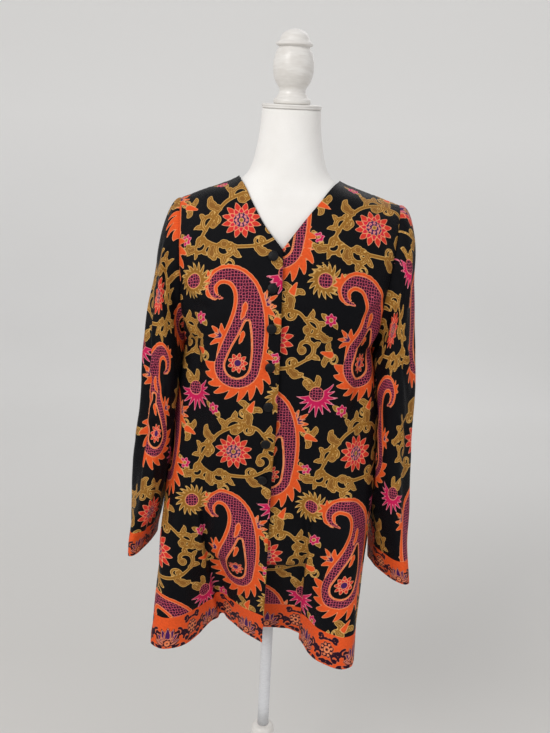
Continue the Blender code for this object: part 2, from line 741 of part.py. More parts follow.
def turned_mesh(name, profile, sides):
    """A piece turned on a lathe: a flat foot and a flat top round off the rings of its profile."""
    vertices = []
    for radius, height in profile:
        for k in range(sides):
            angle = 2 * math.pi * k / sides
            vertices.append((radius * math.cos(angle), radius * math.sin(angle), height))
    faces = [list(range(sides))[::-1]]
    for i in range(len(profile) - 1):
        for k in range(sides):
            after = (k + 1) % sides
            here, above = i * sides, (i + 1) * sides
            faces.append([here + k, here + after, above + after, above + k])
    faces.append(list(range(len(vertices) - sides, len(vertices))))
    mesh = bpy.data.meshes.new(name)
    mesh.from_pydata(vertices, [], faces)
    mesh.shade_smooth()
    mesh.set_sharp_from_angle(angle=SHARP_ANGLE)
    return mesh


def add_turned(name, profile, sides, finish, parent):
    return add_object(name, turned_mesh(name, profile, sides), finish, parent)


def build_form(stand):
    """The torso and neck in one, closed by flat faces under the hips and on the neck."""
    grid = form_grid()
    count = len(grid) * FORM_SIDES
    faces = [list(range(FORM_SIDES))[::-1]]
    faces += form_sides(grid)
    faces.append(list(range(count - FORM_SIDES, count)))
    mesh = bpy.data.meshes.new("form_torso")
    mesh.from_pydata(grid.reshape(-1, 3).tolist(), [], faces)
    mesh.shade_smooth()
    add_object("form_torso", mesh, WHITE_JERSEY, stand)

    neck_top = empty("neck_top", (0.0, 0.0, FORM_RINGS[-1].z), (NECK_TILT, 0.0, 0.0), stand)
    cap = add_turned("neck_cap", CAP_PROFILE, TURNED_SIDES, WHITE_PAINT, neck_top)
    cap.location.z = PIECE_GAP
    finial = add_turned("finial", FINIAL_PROFILE, TURNED_SIDES, WHITE_PAINT, neck_top)
    finial.location.z = CAP_PROFILE[-1][1] + 2 * PIECE_GAP


def build_stand(stand):
    add_turned("stand_base", BASE_PROFILE, TURNED_SIDES, WHITE_PAINT, stand)
    column_foot = BASE_PROFILE[-1][1] + PIECE_GAP
    column = add_turned("stand_column", COLUMN_PROFILE, TURNED_SIDES, WHITE_PAINT, stand)
    column.location.z = column_foot
    pole_foot = column_foot + COLUMN_PROFILE[-1][1] + PIECE_GAP
    pole_length = FORM_RINGS[0].z - PIECE_GAP - pole_foot
    pole_profile = ((POLE_RADIUS, 0.0), (POLE_RADIUS, pole_length))
    pole = add_turned("pole", pole_profile, TURNED_SIDES, WHITE_PAINT, stand)
    pole.location.z = pole_foot


def build_cloth(stand):
    """Makes the five pieces of cloth and returns the right front's outer face, for the buttons."""
    tree = form_tree()
    grids = {
        "front_right": (front_grid(RIGHT, NECKLINE_RIGHT, HEM_RIGHT), 1, False),
        "front_left": (front_grid(LEFT, NECKLINE_LEFT, HEM_LEFT), -1, False),
        "back": (back_grid(), 1, False),
        "sleeve_right": (sleeve_grid(RIGHT, SLEEVE_RIGHT, CUFF_Z_RIGHT), -1, True),
        "sleeve_left": (sleeve_grid(LEFT, SLEEVE_LEFT, CUFF_Z_LEFT), 1, True),
    }
    pieces = {}
    for name, (grid, facing, ring) in grids.items():
        clearance = np.full(grid.shape[:2], FORM_CLEARANCE)
        if name == "front_right":
            share = np.linspace(0, 1, grid.shape[1])
            over = 1 - smooth_step(share / UNDERLAP_SHARE - 1)
            below_v = smooth_step((NECKLINE_RIGHT[2].z - grid[:, :, 2]) / V_FADE)
            clearance = clearance + UNDERLAP_CLEARANCE * over[None, :] * below_v
        pieces[name] = Cloth(lift_off_form(grid, tree, clearance), grid, facing, ring)
    match_seams(pieces)
    points, walls = sew(pieces)
    for name, cloth in pieces.items():
        mesh = cloth_mesh(name, points[name], walls[name], cloth.facing, cloth.ring)
        add_object(name, mesh, BLACK_PRINT, stand)
    return points["front_right"] + walls["front_right"]


def build_buttons(stand, face):
    """Covered buttons, each standing on its shank, square to the right front near its edge."""
    triangles = grid_triangles(face, False)
    tree = BVHTree.FromPolygons(face.reshape(-1, 3).tolist(), triangles)
    for number, height in enumerate(BUTTON_HEIGHTS, start=1):
        edge_x = edge_columns(FRONT_EDGES, height, RIGHT)[0][0]
        start = Vector((edge_x - BUTTON_INSET, -1.0, height))
        place, normal, _, _ = tree.ray_cast(start, Vector((0.0, 1.0, 0.0)))
        made = add_turned(f"button_{number}", BUTTON_PROFILE, BUTTON_SIDES, BLACK_COVER, stand)
        outward = normal if normal.y < 0 else -normal
        made.location = place + outward * BUTTON_GAP
        made.rotation_euler = outward.to_track_quat("Z", "Y").to_euler()


def clear_scene():
    for old in list(bpy.data.objects):
        bpy.data.objects.remove(old, do_unlink=True)


def main():
    clear_scene()
    stand = empty("stand", (0.0, 0.0, 0.0))
    build_stand(stand)
    build_form(stand)
    face = build_cloth(stand)
    build_buttons(stand, face)


main()
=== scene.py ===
"""The looks of a long-sleeved printed silk blouse on a dress form, in metres, +Z up, facing -Y.

The cloth follows the same named sizes as its solids, on a grid of about 2 mm, with creases pressed
into it, seams that dip and edges that turn under. The print is drawn in each piece's flat
coordinates: u across it and v down it. Each ink is kept as a distance from its edge, negative
inside, which the silk's material turns into crisp shapes with a fine outline.
"""

import math
from collections import namedtuple

import bpy
import numpy as np
from mathutils import Matrix, Vector
from mathutils.bvhtree import BVHTree


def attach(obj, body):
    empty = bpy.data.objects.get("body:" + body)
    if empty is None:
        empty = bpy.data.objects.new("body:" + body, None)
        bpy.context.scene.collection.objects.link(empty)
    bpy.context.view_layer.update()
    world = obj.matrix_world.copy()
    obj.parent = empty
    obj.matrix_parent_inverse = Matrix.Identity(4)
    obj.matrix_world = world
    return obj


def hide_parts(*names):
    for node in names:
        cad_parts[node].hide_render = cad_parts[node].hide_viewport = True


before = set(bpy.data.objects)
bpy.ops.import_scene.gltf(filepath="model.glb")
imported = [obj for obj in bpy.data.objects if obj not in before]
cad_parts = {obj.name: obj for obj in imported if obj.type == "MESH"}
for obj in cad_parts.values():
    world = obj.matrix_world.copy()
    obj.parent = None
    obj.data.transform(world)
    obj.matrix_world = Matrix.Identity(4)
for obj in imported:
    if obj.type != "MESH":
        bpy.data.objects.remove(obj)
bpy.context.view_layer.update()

# Cloth: how far the silk lies outside the inner face of its solid, and off what is under it
SILK_OUT = 0.0010
FORM_CLEARANCE = 0.0012
FORM_SOFTNESS = 0.0020
FORM_REACH = 5.0
LIFT_ROUNDS = 40
SECOND_LIFT_ROUNDS = 10
UNDERLAP_CLEARANCE = 0.0036
SLEEVE_CLEARANCE = 0.0015
SLEEVE_FREE = 0.060
SLEEVE_LIFT = 0.008
UNDERLAP_SHARE = 0.25
V_FADE = 0.05

# Heights above the floor
HEM_Z = 0.549
DRAPE_TOP_Z = 1.010
CHEST_ROW_Z = 1.110
UNDERARM_Z = 1.070
SHOULDER_Z = 1.345
DRAPE_POWER = 1.5

# Steps of each grid: the rows are closer together in the printed border
NECK_ROWS = 70
ARMHOLE_ROWS = 112
BODY_ROWS = 200
BORDER_ROWS = 44
BORDER_SHARE = 0.893
FRONT_COLUMNS = 176
SHOULDER_COLUMNS = 62
BACK_NECK_COLUMNS = 92
CAP_ROWS = 76
ARM_ROWS = 170
CUFF_ROWS = 34
CUFF_SHARE = 0.895
SLEEVE_COLUMNS = 224

# Plan of the chest: 2 is an ellipse, more is squarer
CHEST_SQUARENESS = 2.5
BACK_SQUARENESS = 2.4
BACK_DEPTH = 0.108
BACK_WAIST_DEPTH = 0.112
FRONT_FADE = 1.0
BACK_FADE = 2.5

Side = namedtuple(
    "Side", "sign neck_x neck_z shoulder_x shoulder_z underarm_x front_reach back_reach cap_leave"
)
RIGHT = Side(-1, 0.0765, 1.343, 0.1755, 1.310, 0.1600, 0.070, 0.072, 0.058)
LEFT = Side(1, 0.0835, 1.345, 0.1860, 1.313, 0.1540, 0.070, 0.072, 0.080)

NeckPoint = namedtuple("NeckPoint", "share x y z")
NECKLINE_RIGHT = (
    NeckPoint(0.00, -0.0765, 0.000, 1.343),
    NeckPoint(0.33, -0.0620, -0.043, 1.316),
    NeckPoint(0.70, -0.0380, -0.088, 1.278),
    NeckPoint(1.00, -0.0040, -0.120, 1.238),
)
NECKLINE_LEFT = (
    NeckPoint(0.00, 0.0835, 0.000, 1.345),
    NeckPoint(0.28, 0.0620, -0.046, 1.319),
    NeckPoint(0.55, 0.0300, -0.090, 1.284),
    NeckPoint(0.78, -0.0040, -0.1145, 1.240),
    NeckPoint(1.00, -0.0380, -0.1190, 1.196),
)
BACK_NECK_DROP = 0.016
BACK_NECK_Y = 0.074
BACK_NECK_ROUNDNESS = 0.8

# The fronts' centre edges and the side seams, as z, right x and y, left x and y
FRONT_EDGES = (
    (HEM_Z, -0.009, -0.101, -0.04, -0.056), (0.65, -0.007, -0.106, -0.04, -0.074),
    (0.75, -0.006, -0.113, -0.04, -0.094), (0.8, -0.0055, -0.118, -0.04, -0.107),
    (0.87, -0.005, -0.124, -0.039, -0.115), (0.98, -0.001, -0.133, -0.038, -0.1275),
    (1.1, -0.001, -0.136, -0.038, -0.1305), (1.163, -0.002, -0.133, -0.038, -0.1275),
    (1.196, -0.0025, -0.128, -0.038, -0.119), (1.238, -0.004, -0.12, -0.038, -0.11),
)
SIDE_SEAMS = (
    (HEM_Z, -0.192, -0.015, 0.142, -0.01), (0.7, -0.19, 0, 0.158, 0), (0.82, -0.182, 0, 0.169, 0),
    (0.87, -0.178, 0, 0.171, 0), (0.93, -0.175, 0, 0.171, 0), (1, -0.171, 0, 0.168, 0),
    (UNDERARM_Z, -0.16, 0, 0.154, 0),
)

# The hem seen from above, from each piece's first edge to its last, as x, y and rise
HEM_RIGHT = (
    (-0.009, -0.101, 0), (-0.04, -0.074, 0), (-0.067, -0.046, 0.003), (-0.085, -0.027, 0.006),
    (-0.103, -0.044, 0.003), (-0.124, -0.086, 0), (-0.152, -0.122, 0), (-0.18, -0.132, 0),
    (-0.204, -0.115, 0), (-0.207, -0.066, 0), (-0.192, -0.015, 0),
)
HEM_LEFT = (
    (-0.04, -0.056, 0), (0.001, -0.053, 0), (0.032, -0.053, 0), (0.052, -0.066, 0),
    (0.065, -0.104, 0), (0.082, -0.136, -0.002), (0.103, -0.151, -0.004), (0.126, -0.158, -0.006),
    (0.146, -0.146, -0.006), (0.153, -0.1, 0), (0.148, -0.052, 0), (0.142, -0.01, 0),
)
HEM_BACK = (
    (-0.192, -0.015, 0), (-0.187, 0.035, 0), (-0.166, 0.083, 0), (-0.132, 0.104, 0.002),
    (-0.094, 0.098, 0.003), (-0.06, 0.116, 0.001), (-0.022, 0.14, 0), (0.02, 0.128, 0.002),
    (0.056, 0.104, 0.004), (0.09, 0.116, 0.001), (0.124, 0.106, 0), (0.146, 0.062, 0),
    (0.142, -0.01, 0),
)

# Level sections of the sleeves, as z, x, half-width, skew, y and half-depth
SLEEVE_RIGHT = (
    (0.68, 0.234, 0.01, 0.012, -0.033, 0.057), (0.715, 0.232, 0.013, 0.012, -0.032, 0.058),
    (0.755, 0.226, 0.019, 0.009, -0.031, 0.06), (0.805, 0.219, 0.025, 0.004, -0.03, 0.063),
    (0.87, 0.213, 0.031, -0.004, -0.028, 0.066), (0.95, 0.207, 0.031, -0.012, -0.024, 0.068),
    (1.03, 0.1985, 0.0335, -0.008, -0.02, 0.07), (1.12, 0.1915, 0.0335, 0, -0.014, 0.071),
    (1.22, 0.174, 0.035, 0, -0.008, 0.066),
)
SLEEVE_LEFT = (
    (0.668, 0.213, 0.019, 0.023, -0.041, 0.054), (0.69, 0.211, 0.021, 0.021, -0.04, 0.056),
    (0.74, 0.207, 0.0235, 0.014, -0.037, 0.06), (0.8, 0.204, 0.029, 0.006, -0.032, 0.063),
    (0.87, 0.202, 0.0305, -0.002, -0.027, 0.066), (0.95, 0.2015, 0.0295, -0.006, -0.022, 0.068),
    (1.03, 0.1945, 0.034, -0.003, -0.018, 0.07), (1.12, 0.188, 0.0345, 0, -0.014, 0.071),
    (1.22, 0.18, 0.036, 0, -0.008, 0.066),
)
CUFF_Z_RIGHT = 0.699
CUFF_Z_LEFT = 0.672
CAP_END_MIDDLE_Z = 1.120
CAP_END_HALF_Z = 0.088
UNDERARM_LEAVE = 0.15
UNDERARM_SPREAD = 0.5

# Creases, in a piece's flat coordinates: from (u, v) to (to_u, to_v), bowed sideways. A positive
# height is a ridge with a trough beside it, and a negative one the other way round. Each row has
# the values of a Crease in their order.
Crease = namedtuple("Crease", "u v to_u to_v bow width height")
CREASES = {
    "front_right": (
        (0.13, 0.215, 0.075, 0.48, 0.012, 0.014, 0.003),
        (0.155, 0.25, 0.15, 0.64, -0.01, 0.016, -0.0028),
        (0.09, 0.33, 0.105, 0.78, 0.008, 0.013, 0.0024),
        (0.195, 0.3, 0.215, 0.76, 0.01, 0.018, 0.0034),
        (0.17, 0.175, 0.11, 0.245, 0.01, 0.009, 0.0022),
        (0.185, 0.215, 0.125, 0.33, 0.012, 0.011, 0.0022),
        (0.1, 0.06, 0.15, 0.17, -0.008, 0.012, -0.0014),
        (0.04, 0.47, 0.052, 0.77, 0.004, 0.01, -0.0012),
        (0.122, 0.5, 0.115, 0.9, 0.004, 0.0075, -0.0034),
    ),
    "front_left": (
        (0.135, 0.215, 0.085, 0.47, 0.012, 0.014, 0.0026),
        (0.15, 0.26, 0.16, 0.66, -0.012, 0.015, -0.0028),
        (0.06, 0.42, 0.075, 0.79, 0.006, 0.014, 0.003),
        (0.205, 0.32, 0.215, 0.76, -0.008, 0.018, 0.0036),
        (0.175, 0.18, 0.115, 0.25, 0.01, 0.009, 0.002),
        (0.188, 0.225, 0.13, 0.345, 0.012, 0.011, 0.0024),
        (0.105, 0.065, 0.155, 0.175, -0.008, 0.012, -0.0014),
        (0.12, 0.52, 0.118, 0.78, 0.004, 0.01, 0.0018),
        (0.058, 0.52, 0.066, 0.9, -0.004, 0.0075, -0.0032),
    ),
    "back": (
        (-0.15, 0.235, -0.095, 0.48, -0.012, 0.015, 0.003),
        (0.15, 0.235, 0.1, 0.5, 0.012, 0.015, 0.0028),
        (-0.05, 0.33, -0.062, 0.78, 0.008, 0.02, 0.0034),
        (0.04, 0.35, 0.058, 0.78, -0.006, 0.018, 0.003),
        (-0.14, 0.4, -0.15, 0.78, 0.006, 0.016, -0.003),
        (0.145, 0.4, 0.15, 0.78, -0.008, 0.016, -0.0032),
        (0, 0.08, -0.01, 0.33, 0.01, 0.022, -0.0018),
        (-0.11, 0.07, -0.165, 0.2, 0.006, 0.012, 0.0016),
        (0.115, 0.07, 0.165, 0.2, -0.006, 0.012, 0.0016),
        (-0.205, 0.33, -0.21, 0.76, 0.006, 0.014, 0.0024),
        (0.205, 0.34, 0.205, 0.76, -0.006, 0.014, 0.0024),
    ),
    "sleeve_right": (
        (0.03, 0.11, 0.012, 0.62, 0.01, 0.012, 0.0036),
        (0.075, 0.16, 0.06, 0.56, -0.008, 0.01, -0.0042),
        (-0.04, 0.12, -0.034, 0.6, 0.006, 0.013, 0.0034),
        (0.12, 0.26, 0.04, 0.33, 0.01, 0.009, 0.0024),
        (0.125, 0.32, 0.05, 0.375, 0.008, 0.008, -0.002),
        (0.11, 0.38, 0.03, 0.44, -0.006, 0.01, 0.0022),
        (-0.11, 0.25, -0.05, 0.35, 0.01, 0.01, 0.0024),
        (-0.105, 0.36, -0.045, 0.43, 0.008, 0.009, -0.002),
        (0.095, 0.44, 0.085, 0.62, 0.004, 0.009, 0.002),
        (0.06, 0.09, 0.11, 0.2, 0.01, 0.01, 0.0024), (-0.06, 0.09, -0.1, 0.2, -0.01, 0.01, 0.0022),
    ),
    "sleeve_left": (
        (-0.028, 0.11, -0.01, 0.64, -0.01, 0.012, 0.0036),
        (-0.08, 0.17, -0.064, 0.56, 0.008, 0.01, -0.004),
        (0.042, 0.12, 0.036, 0.62, -0.006, 0.013, 0.0034),
        (-0.125, 0.27, -0.045, 0.345, -0.01, 0.009, 0.0026),
        (-0.12, 0.335, -0.052, 0.385, -0.008, 0.008, -0.002),
        (-0.11, 0.395, -0.03, 0.46, 0.006, 0.01, 0.0024),
        (0.11, 0.245, 0.05, 0.345, -0.01, 0.01, 0.0024),
        (0.105, 0.355, 0.045, 0.425, -0.008, 0.009, -0.002),
        (-0.098, 0.45, -0.085, 0.64, -0.004, 0.009, 0.002),
        (-0.06, 0.09, -0.11, 0.2, -0.01, 0.01, 0.0024), (0.06, 0.09, 0.1, 0.2, 0.01, 0.01, 0.0022),
    ),
}
CREASE_STRENGTH = 1.5
CREASE_EASE = 0.35
CREASE_TROUGH = 0.6
CREASE_GAP = 1.7
CREASE_OPEN_END = 0.4
CREASE_RUN_OUT = 0.25
CENTRE_CALM = 0.040
RIPPLE_HEIGHT = 0.0007
RIPPLE_LENGTHS = (0.110, 0.070, 0.045, 0.028)
RIPPLE_WAVES = 3
RIPPLE_LEAN = 0.35
RIPPLE_SWAY = 0.3

# Seams dip to a line and pucker a little beside it. Free edges turn under.
SEAM_DIP = 0.0009
SEAM_DIP_WIDTH = 0.0030
PUCKER_HEIGHT = 0.00018
PUCKER_LENGTHS = (0.009, 0.014, 0.023)
PUCKER_WIDTH = 0.012
SEAM_FOLLOW = 0.012
SEAM_STEPS = 225
TURN_LAYERS = 4
TURN_DEPTH = 0.0008
SEAM_TURN_DEPTH = 0.0022


def smooth_slopes(steps, rises):
    """Slopes at each point that keep a curve through them smooth and free of overshoot."""
    secants = rises / steps[:, None]
    slopes = np.zeros((len(steps) + 1, rises.shape[1]))
    slopes[0] = secants[0]
    slopes[-1] = secants[-1]
    before, after = secants[:-1], secants[1:]
    same_way = before * after > 0
    total = before + after
    total[~same_way] = 1.0
    slopes[1:-1] = np.where(same_way, 2 * before * after / total, 0.0)
    return slopes


def curve_weights(part):
    """Weights of a curve's start, of its slope there, of its end and of its slope there."""
    before, after = (1 - part) ** 2, part**2
    return (1 + 2 * part) * before, part * before, after * (3 - 2 * part), after * (part - 1)


def smooth_curve(places, values, wanted):
    """Values, one row for each wanted place, on a smooth curve through the given rows."""
    places = np.asarray(places, float)
    values = np.asarray(values, float)
    wanted = np.atleast_1d(wanted)
    steps = np.diff(places)
    slopes = smooth_slopes(steps, np.diff(values, axis=0))
    index = np.clip(np.searchsorted(places, wanted, side="right") - 1, 0, len(steps) - 1)
    step = steps[index][:, None]
    part = np.clip((wanted - places[index])[:, None] / step, 0.0, 1.0)
    start, leave, end, arrive = curve_weights(part)
    return (
        start * values[index]
        + leave * step * slopes[index]
        + end * values[index + 1]
        + arrive * step * slopes[index + 1]
    )


def smooth_step(part):
    part = np.clip(part, 0.0, 1.0)
    return part * part * (3 - 2 * part)


def spread_evenly(points, shares):
    """Points at the given shares of the length of a smooth curve through a short list of points."""
    points = np.asarray(points, float)
    lengths = np.linalg.norm(np.diff(points[:, :2], axis=0), axis=1)
    places = np.concatenate([[0.0], np.cumsum(lengths)])
    return smooth_curve(places, points, np.asarray(shares) * places[-1])


def two_spacings(turn, coarse, fine):
    """Shares from 0 to 1, the last part of them, past the turn, more closely spaced."""
    return np.concatenate([np.linspace(0, turn, coarse + 1), np.linspace(turn, 1, fine + 1)[1:]])


FALL = two_spacings(BORDER_SHARE, BODY_ROWS, BORDER_ROWS)[1:]


def armhole(side, angle, reach):
    """Armhole points from the shoulder's end, angle 0, round to the underarm, angle pi."""
    middle = (side.shoulder_z + UNDERARM_Z) / 2
    half = (side.shoulder_z - UNDERARM_Z) / 2
    upper = (1 + np.cos(angle)) / 2
    x = side.sign * (side.underarm_x + (side.shoulder_x - side.underarm_x) * upper)
    return np.stack([x, reach * np.sin(angle), middle + half * np.cos(angle)], axis=-1)


def quarter_plan(share, squareness):
    """How far across, and how far back, a squared quarter ellipse has come at a share of its turn."""
    turn = share * math.pi / 2
    return np.sin(turn) ** (2 / squareness), 1 - np.cos(turn) ** (2 / squareness)


def patch(top, bottom, first, last, fade):
    """A patch between four edges: top and bottom run along rows, first and last run down.

    The bulge of the first and last edges fades inwards, by the power given.
    """
    down = np.linspace(0, 1, len(first))[:, None, None]
    along = np.linspace(0, 1, len(top))[None, :, None]
    ruled = (1 - down) * top[None] + down * bottom[None]
    first_bulge = first[:, None] - ((1 - down) * first[0] + down * first[-1])
    last_bulge = last[:, None] - ((1 - down) * last[0] + down * last[-1])
    return ruled + (1 - along) ** fade * first_bulge + along**fade * last_bulge


def edge_columns(table, heights, side):
    """x and y of an edge at the given heights."""
    columns = (1, 2) if side.sign < 0 else (3, 4)
    rows = np.asarray(table, float)
    return smooth_curve(rows[:, 0], rows[:, columns], heights)


def drape(height):
    """How much of the hem's form a height has taken: none above the waist, all at the hem."""
    fallen = np.clip((DRAPE_TOP_Z - height) / (DRAPE_TOP_Z - HEM_Z), 0.0, 1.0)
    return fallen**DRAPE_POWER


def edge_line(table, top_z, side):
    """Points of an edge, one for each row that falls from a height to the hem."""
    heights = top_z + (HEM_Z - top_z) * FALL
    return np.column_stack([edge_columns(table, heights, side), heights])


def hang(upper, rows, hem):
    """Adds level rows below a piece's upper part, brought more and more to the hem's form."""
    rows = np.array(rows)
    hem_points = spread_evenly(hem, np.linspace(0, 1, rows.shape[1]))
    shift = hem_points - rows[-1] * (1, 1, 0)
    return np.concatenate([upper, rows + shift * drape(rows[..., 2])[..., None]])


def front_row(inner, outer, share):
    """A level row of a front, from its centre edge round to the side seam."""
    across, back = quarter_plan(share, CHEST_SQUARENESS)
    x = inner[0] + (outer[0] - inner[0]) * across
    y = inner[1] + (outer[1] - inner[1]) * back
    z = inner[2] + (outer[2] - inner[2]) * share
    return np.stack([x, y, z], axis=1)


def front_grid(side, neckline, hem):
    """Points of one front, with a row for each step from shoulder to hem."""
    share = np.linspace(0, 1, FRONT_COLUMNS + 1)
    neck_rows = np.asarray(neckline, float)
    neck = smooth_curve(neck_rows[:, 0], neck_rows[:, 1:], np.linspace(0, 1, NECK_ROWS + 1))
    edge_z = np.linspace(neckline[-1].z, CHEST_ROW_Z, ARMHOLE_ROWS - NECK_ROWS + 1)[1:]
    edge = np.column_stack([edge_columns(FRONT_EDGES, edge_z, side), edge_z])
    first = np.vstack([neck, edge])
    last = armhole(side, np.linspace(0, math.pi, ARMHOLE_ROWS + 1), -side.front_reach)
    top = first[0] + (last[0] - first[0]) * share[:, None]
    chest = front_row(first[-1], last[-1], share)
    upper = patch(top, chest, first, last, FRONT_FADE)

    inner = edge_line(FRONT_EDGES, CHEST_ROW_Z, side)
    outer = edge_line(SIDE_SEAMS, UNDERARM_Z, side)
    rows = [front_row(start, end, share) for start, end in zip(inner, outer)]
    return hang(upper, rows, hem)


def back_row(first, last, share, depth):
    """A level row of the back, from the right side seam round to the left one."""
    turn = share * math.pi
    across = (1 - np.sign(np.cos(turn)) * np.abs(np.cos(turn)) ** (2 / BACK_SQUARENESS)) / 2
    reach = np.sin(turn) ** (2 / BACK_SQUARENESS)
    x = first[0] + (last[0] - first[0]) * across
    y = first[1] + (last[1] - first[1]) * share + depth * reach
    z = first[2] + (last[2] - first[2]) * share
    return np.stack([x, y, z], axis=1)


def back_top():
    """The back's upper edge: right shoulder, back neck and left shoulder."""
    part = np.linspace(0, 1, SHOULDER_COLUMNS + 1)[:, None]
    ends = {}
    for side in (RIGHT, LEFT):
        neck = np.array([side.sign * side.neck_x, 0.0, side.neck_z])
        ends[side] = (armhole(side, 0.0, 0.0), neck)
    right_shoulder = ends[RIGHT][0] + (ends[RIGHT][1] - ends[RIGHT][0]) * part
    left_shoulder = ends[LEFT][1] + (ends[LEFT][0] - ends[LEFT][1]) * part
    turn = np.linspace(0, math.pi, BACK_NECK_COLUMNS + 1)[1:-1]
    along = ((1 - np.cos(turn)) / 2)[:, None]
    neck = ends[RIGHT][1] + (ends[LEFT][1] - ends[RIGHT][1]) * along
    neck[:, 1] += BACK_NECK_Y * np.sin(turn) ** BACK_NECK_ROUNDNESS
    neck[:, 2] -= BACK_NECK_DROP * np.sin(turn)
    return np.vstack([right_shoulder, neck, left_shoulder])


def back_grid():
    top = back_top()
    share = np.linspace(0, 1, len(top))
    angles = np.linspace(0, math.pi, ARMHOLE_ROWS + 1)
    first = armhole(RIGHT, angles, RIGHT.back_reach)
    last = armhole(LEFT, angles, LEFT.back_reach)
    upper = patch(top, back_row(first[-1], last[-1], share, BACK_DEPTH), first, last, BACK_FADE)

    right = edge_line(SIDE_SEAMS, UNDERARM_Z, RIGHT)
    left = edge_line(SIDE_SEAMS, UNDERARM_Z, LEFT)
    depths = BACK_DEPTH + (BACK_WAIST_DEPTH - BACK_DEPTH) * FALL
    rows = [back_row(*row, share, depth) for *row, depth in zip(right, left, depths)]
    return hang(upper, rows, HEM_BACK)


def sleeve_section(side, table, heights, angles):
    """Points of the hanging sleeve, one for each pair of a height and an angle round it."""
    rows = np.asarray(table, float)
    x, half_width, skew, y, half_depth = smooth_curve(rows[:, 0], rows[:, 1:], heights).T
    out = x + half_width * np.cos(angles) + skew * np.sin(angles)
    return np.stack([side.sign * out, y - half_depth * np.sin(angles), heights], axis=1)


def sleeve_grid(side, table, cuff_z):
    """Rings of a sleeve from the armhole, over the sleeve head, to the cuff, cut open underneath."""
    angles = np.linspace(-math.pi, math.pi, SLEEVE_COLUMNS + 1)
    reach = np.where(np.sin(angles) > 0, -side.front_reach, -side.back_reach)
    seam = armhole(side, angles, reach)
    join_z = CAP_END_MIDDLE_Z + CAP_END_HALF_Z * np.cos(angles)
    join = sleeve_section(side, table, join_z, angles)
    near_top = smooth_step((1 + np.cos(angles)) / UNDERARM_SPREAD)
    outward = side.sign * side.cap_leave * (UNDERARM_LEAVE + (1 - UNDERARM_LEAVE) * near_top)
    away = np.column_stack([outward, np.zeros_like(outward), np.zeros_like(outward)])
    straight = np.linalg.norm(join - seam, axis=1)[:, None]
    rings = []
    for part in np.linspace(0, 1, CAP_ROWS + 1):
        start, leave, end, arrive = curve_weights(part)
        ring = start * seam + leave * away + end * join
        rings.append(ring + arrive * straight * np.array([0.0, 0.0, -1.0]))
    for part in two_spacings(CUFF_SHARE, ARM_ROWS, CUFF_ROWS)[1:]:
        heights = join_z + (cuff_z - join_z) * part
        rings.append(sleeve_section(side, table, heights, angles))
    return np.array(rings)


def unit(vectors):
    return vectors / np.maximum(np.linalg.norm(vectors, axis=-1, keepdims=True), 1e-12)


def cloth_normals(points, facing):
    along = np.gradient(points, axis=1)
    down = np.gradient(points, axis=0)
    return unit(np.cross(along, down)) * facing


def run_along(points, axes, direction):
    """Length run along a grid's rows (direction 1) or down them (0), counting only the given axes."""
    steps = np.linalg.norm(np.diff(points[..., axes], axis=direction), axis=-1)
    start = np.zeros_like(np.take(steps, [0], axis=direction))
    return np.concatenate([start, np.cumsum(steps, axis=direction)], axis=direction)


def fall_down(points):
    return run_along(points, [1, 2], 0) + SHOULDER_Z - points[:1, :, 2]


def flat_body(points, side):
    """A front laid flat: u from the body's centre line outwards, v down from the shoulder."""
    across = run_along(points, [0, 1], 1) + side.sign * points[:, :1, 0]
    return np.stack([across, fall_down(points)], axis=-1)


def flat_across(points, axes):
    """The back or a sleeve laid flat: u to both sides of its middle, v down from the shoulder."""
    across = run_along(points, axes, 1)
    middle = across[:, across.shape[1] // 2, None]
    return np.stack([across - middle, fall_down(points)], axis=-1)


def to_hem(points):
    """Each point's place in the printed border: how far along the hem, and how far up from it."""
    along = run_along(points[-1:], [0, 1, 2], 1)
    down = run_along(points, [0, 1, 2], 0)
    return np.stack([np.broadcast_to(along, down.shape), down[-1:] - down], axis=-1)


def crease_relief(flat, creases):
    """How far creases lift or sink each point of a piece."""
    relief = np.zeros(flat.shape[:2])
    for crease in (Crease(*row) for row in creases):
        start = np.array([crease.u, crease.v])
        chord = np.array([crease.to_u, crease.to_v]) - start
        length = np.linalg.norm(chord)
        along = (flat - start) @ chord / length**2
        inside = np.clip(along, 0.0, 1.0)
        across = (flat - start) @ np.array([chord[1], -chord[0]]) / length
        across = (across - crease.bow * 4 * inside * (1 - inside)) / crease.width
        taper = smooth_step(along / CREASE_EASE)
        taper = taper * smooth_step((1 - along) / CREASE_EASE + CREASE_OPEN_END)
        taper = taper * smooth_step((1 + CREASE_RUN_OUT - along) / CREASE_RUN_OUT)
        trough = CREASE_TROUGH * np.exp(-((across - CREASE_GAP) ** 2))
        relief += crease.height * taper * (np.exp(-(across**2)) - trough)
    return relief


def ripples(flat, seed):
    """Slight unevenness of hanging silk: a few crossing waves, longer down the cloth than across."""
    chance = np.random.default_rng(seed)
    across, down = flat[..., 0], flat[..., 1]
    relief = np.zeros(across.shape)
    for length in RIPPLE_LENGTHS:
        for _ in range(RIPPLE_WAVES):
            lean = chance.normal(0.0, RIPPLE_LEAN)
            phase = chance.uniform(0, 2 * math.pi)
            turns = across + lean * down + RIPPLE_SWAY * length * np.sin(down / length)
            relief += np.sin(2 * math.pi * turns / length + phase) * length / RIPPLE_LENGTHS[0]
    return relief * RIPPLE_HEIGHT / 2


def off_form(points, tree, clearance):
    """Moves points that lie in the form, or nearly touch it, out to their clearance, softly."""
    lifted = points.copy()
    for place in np.ndindex(points.shape[:2]):
        point = Vector(points[place])
        nearest, normal, _, _ = tree.find_nearest(point)
        distance = (point - nearest).dot(normal)
        beyond = (distance - clearance[place]) / FORM_SOFTNESS
        if beyond < FORM_REACH:
            move = clearance[place] + FORM_SOFTNESS * math.log1p(math.exp(beyond)) - distance
            lifted[place] += np.array(normal) * move
    return lifted


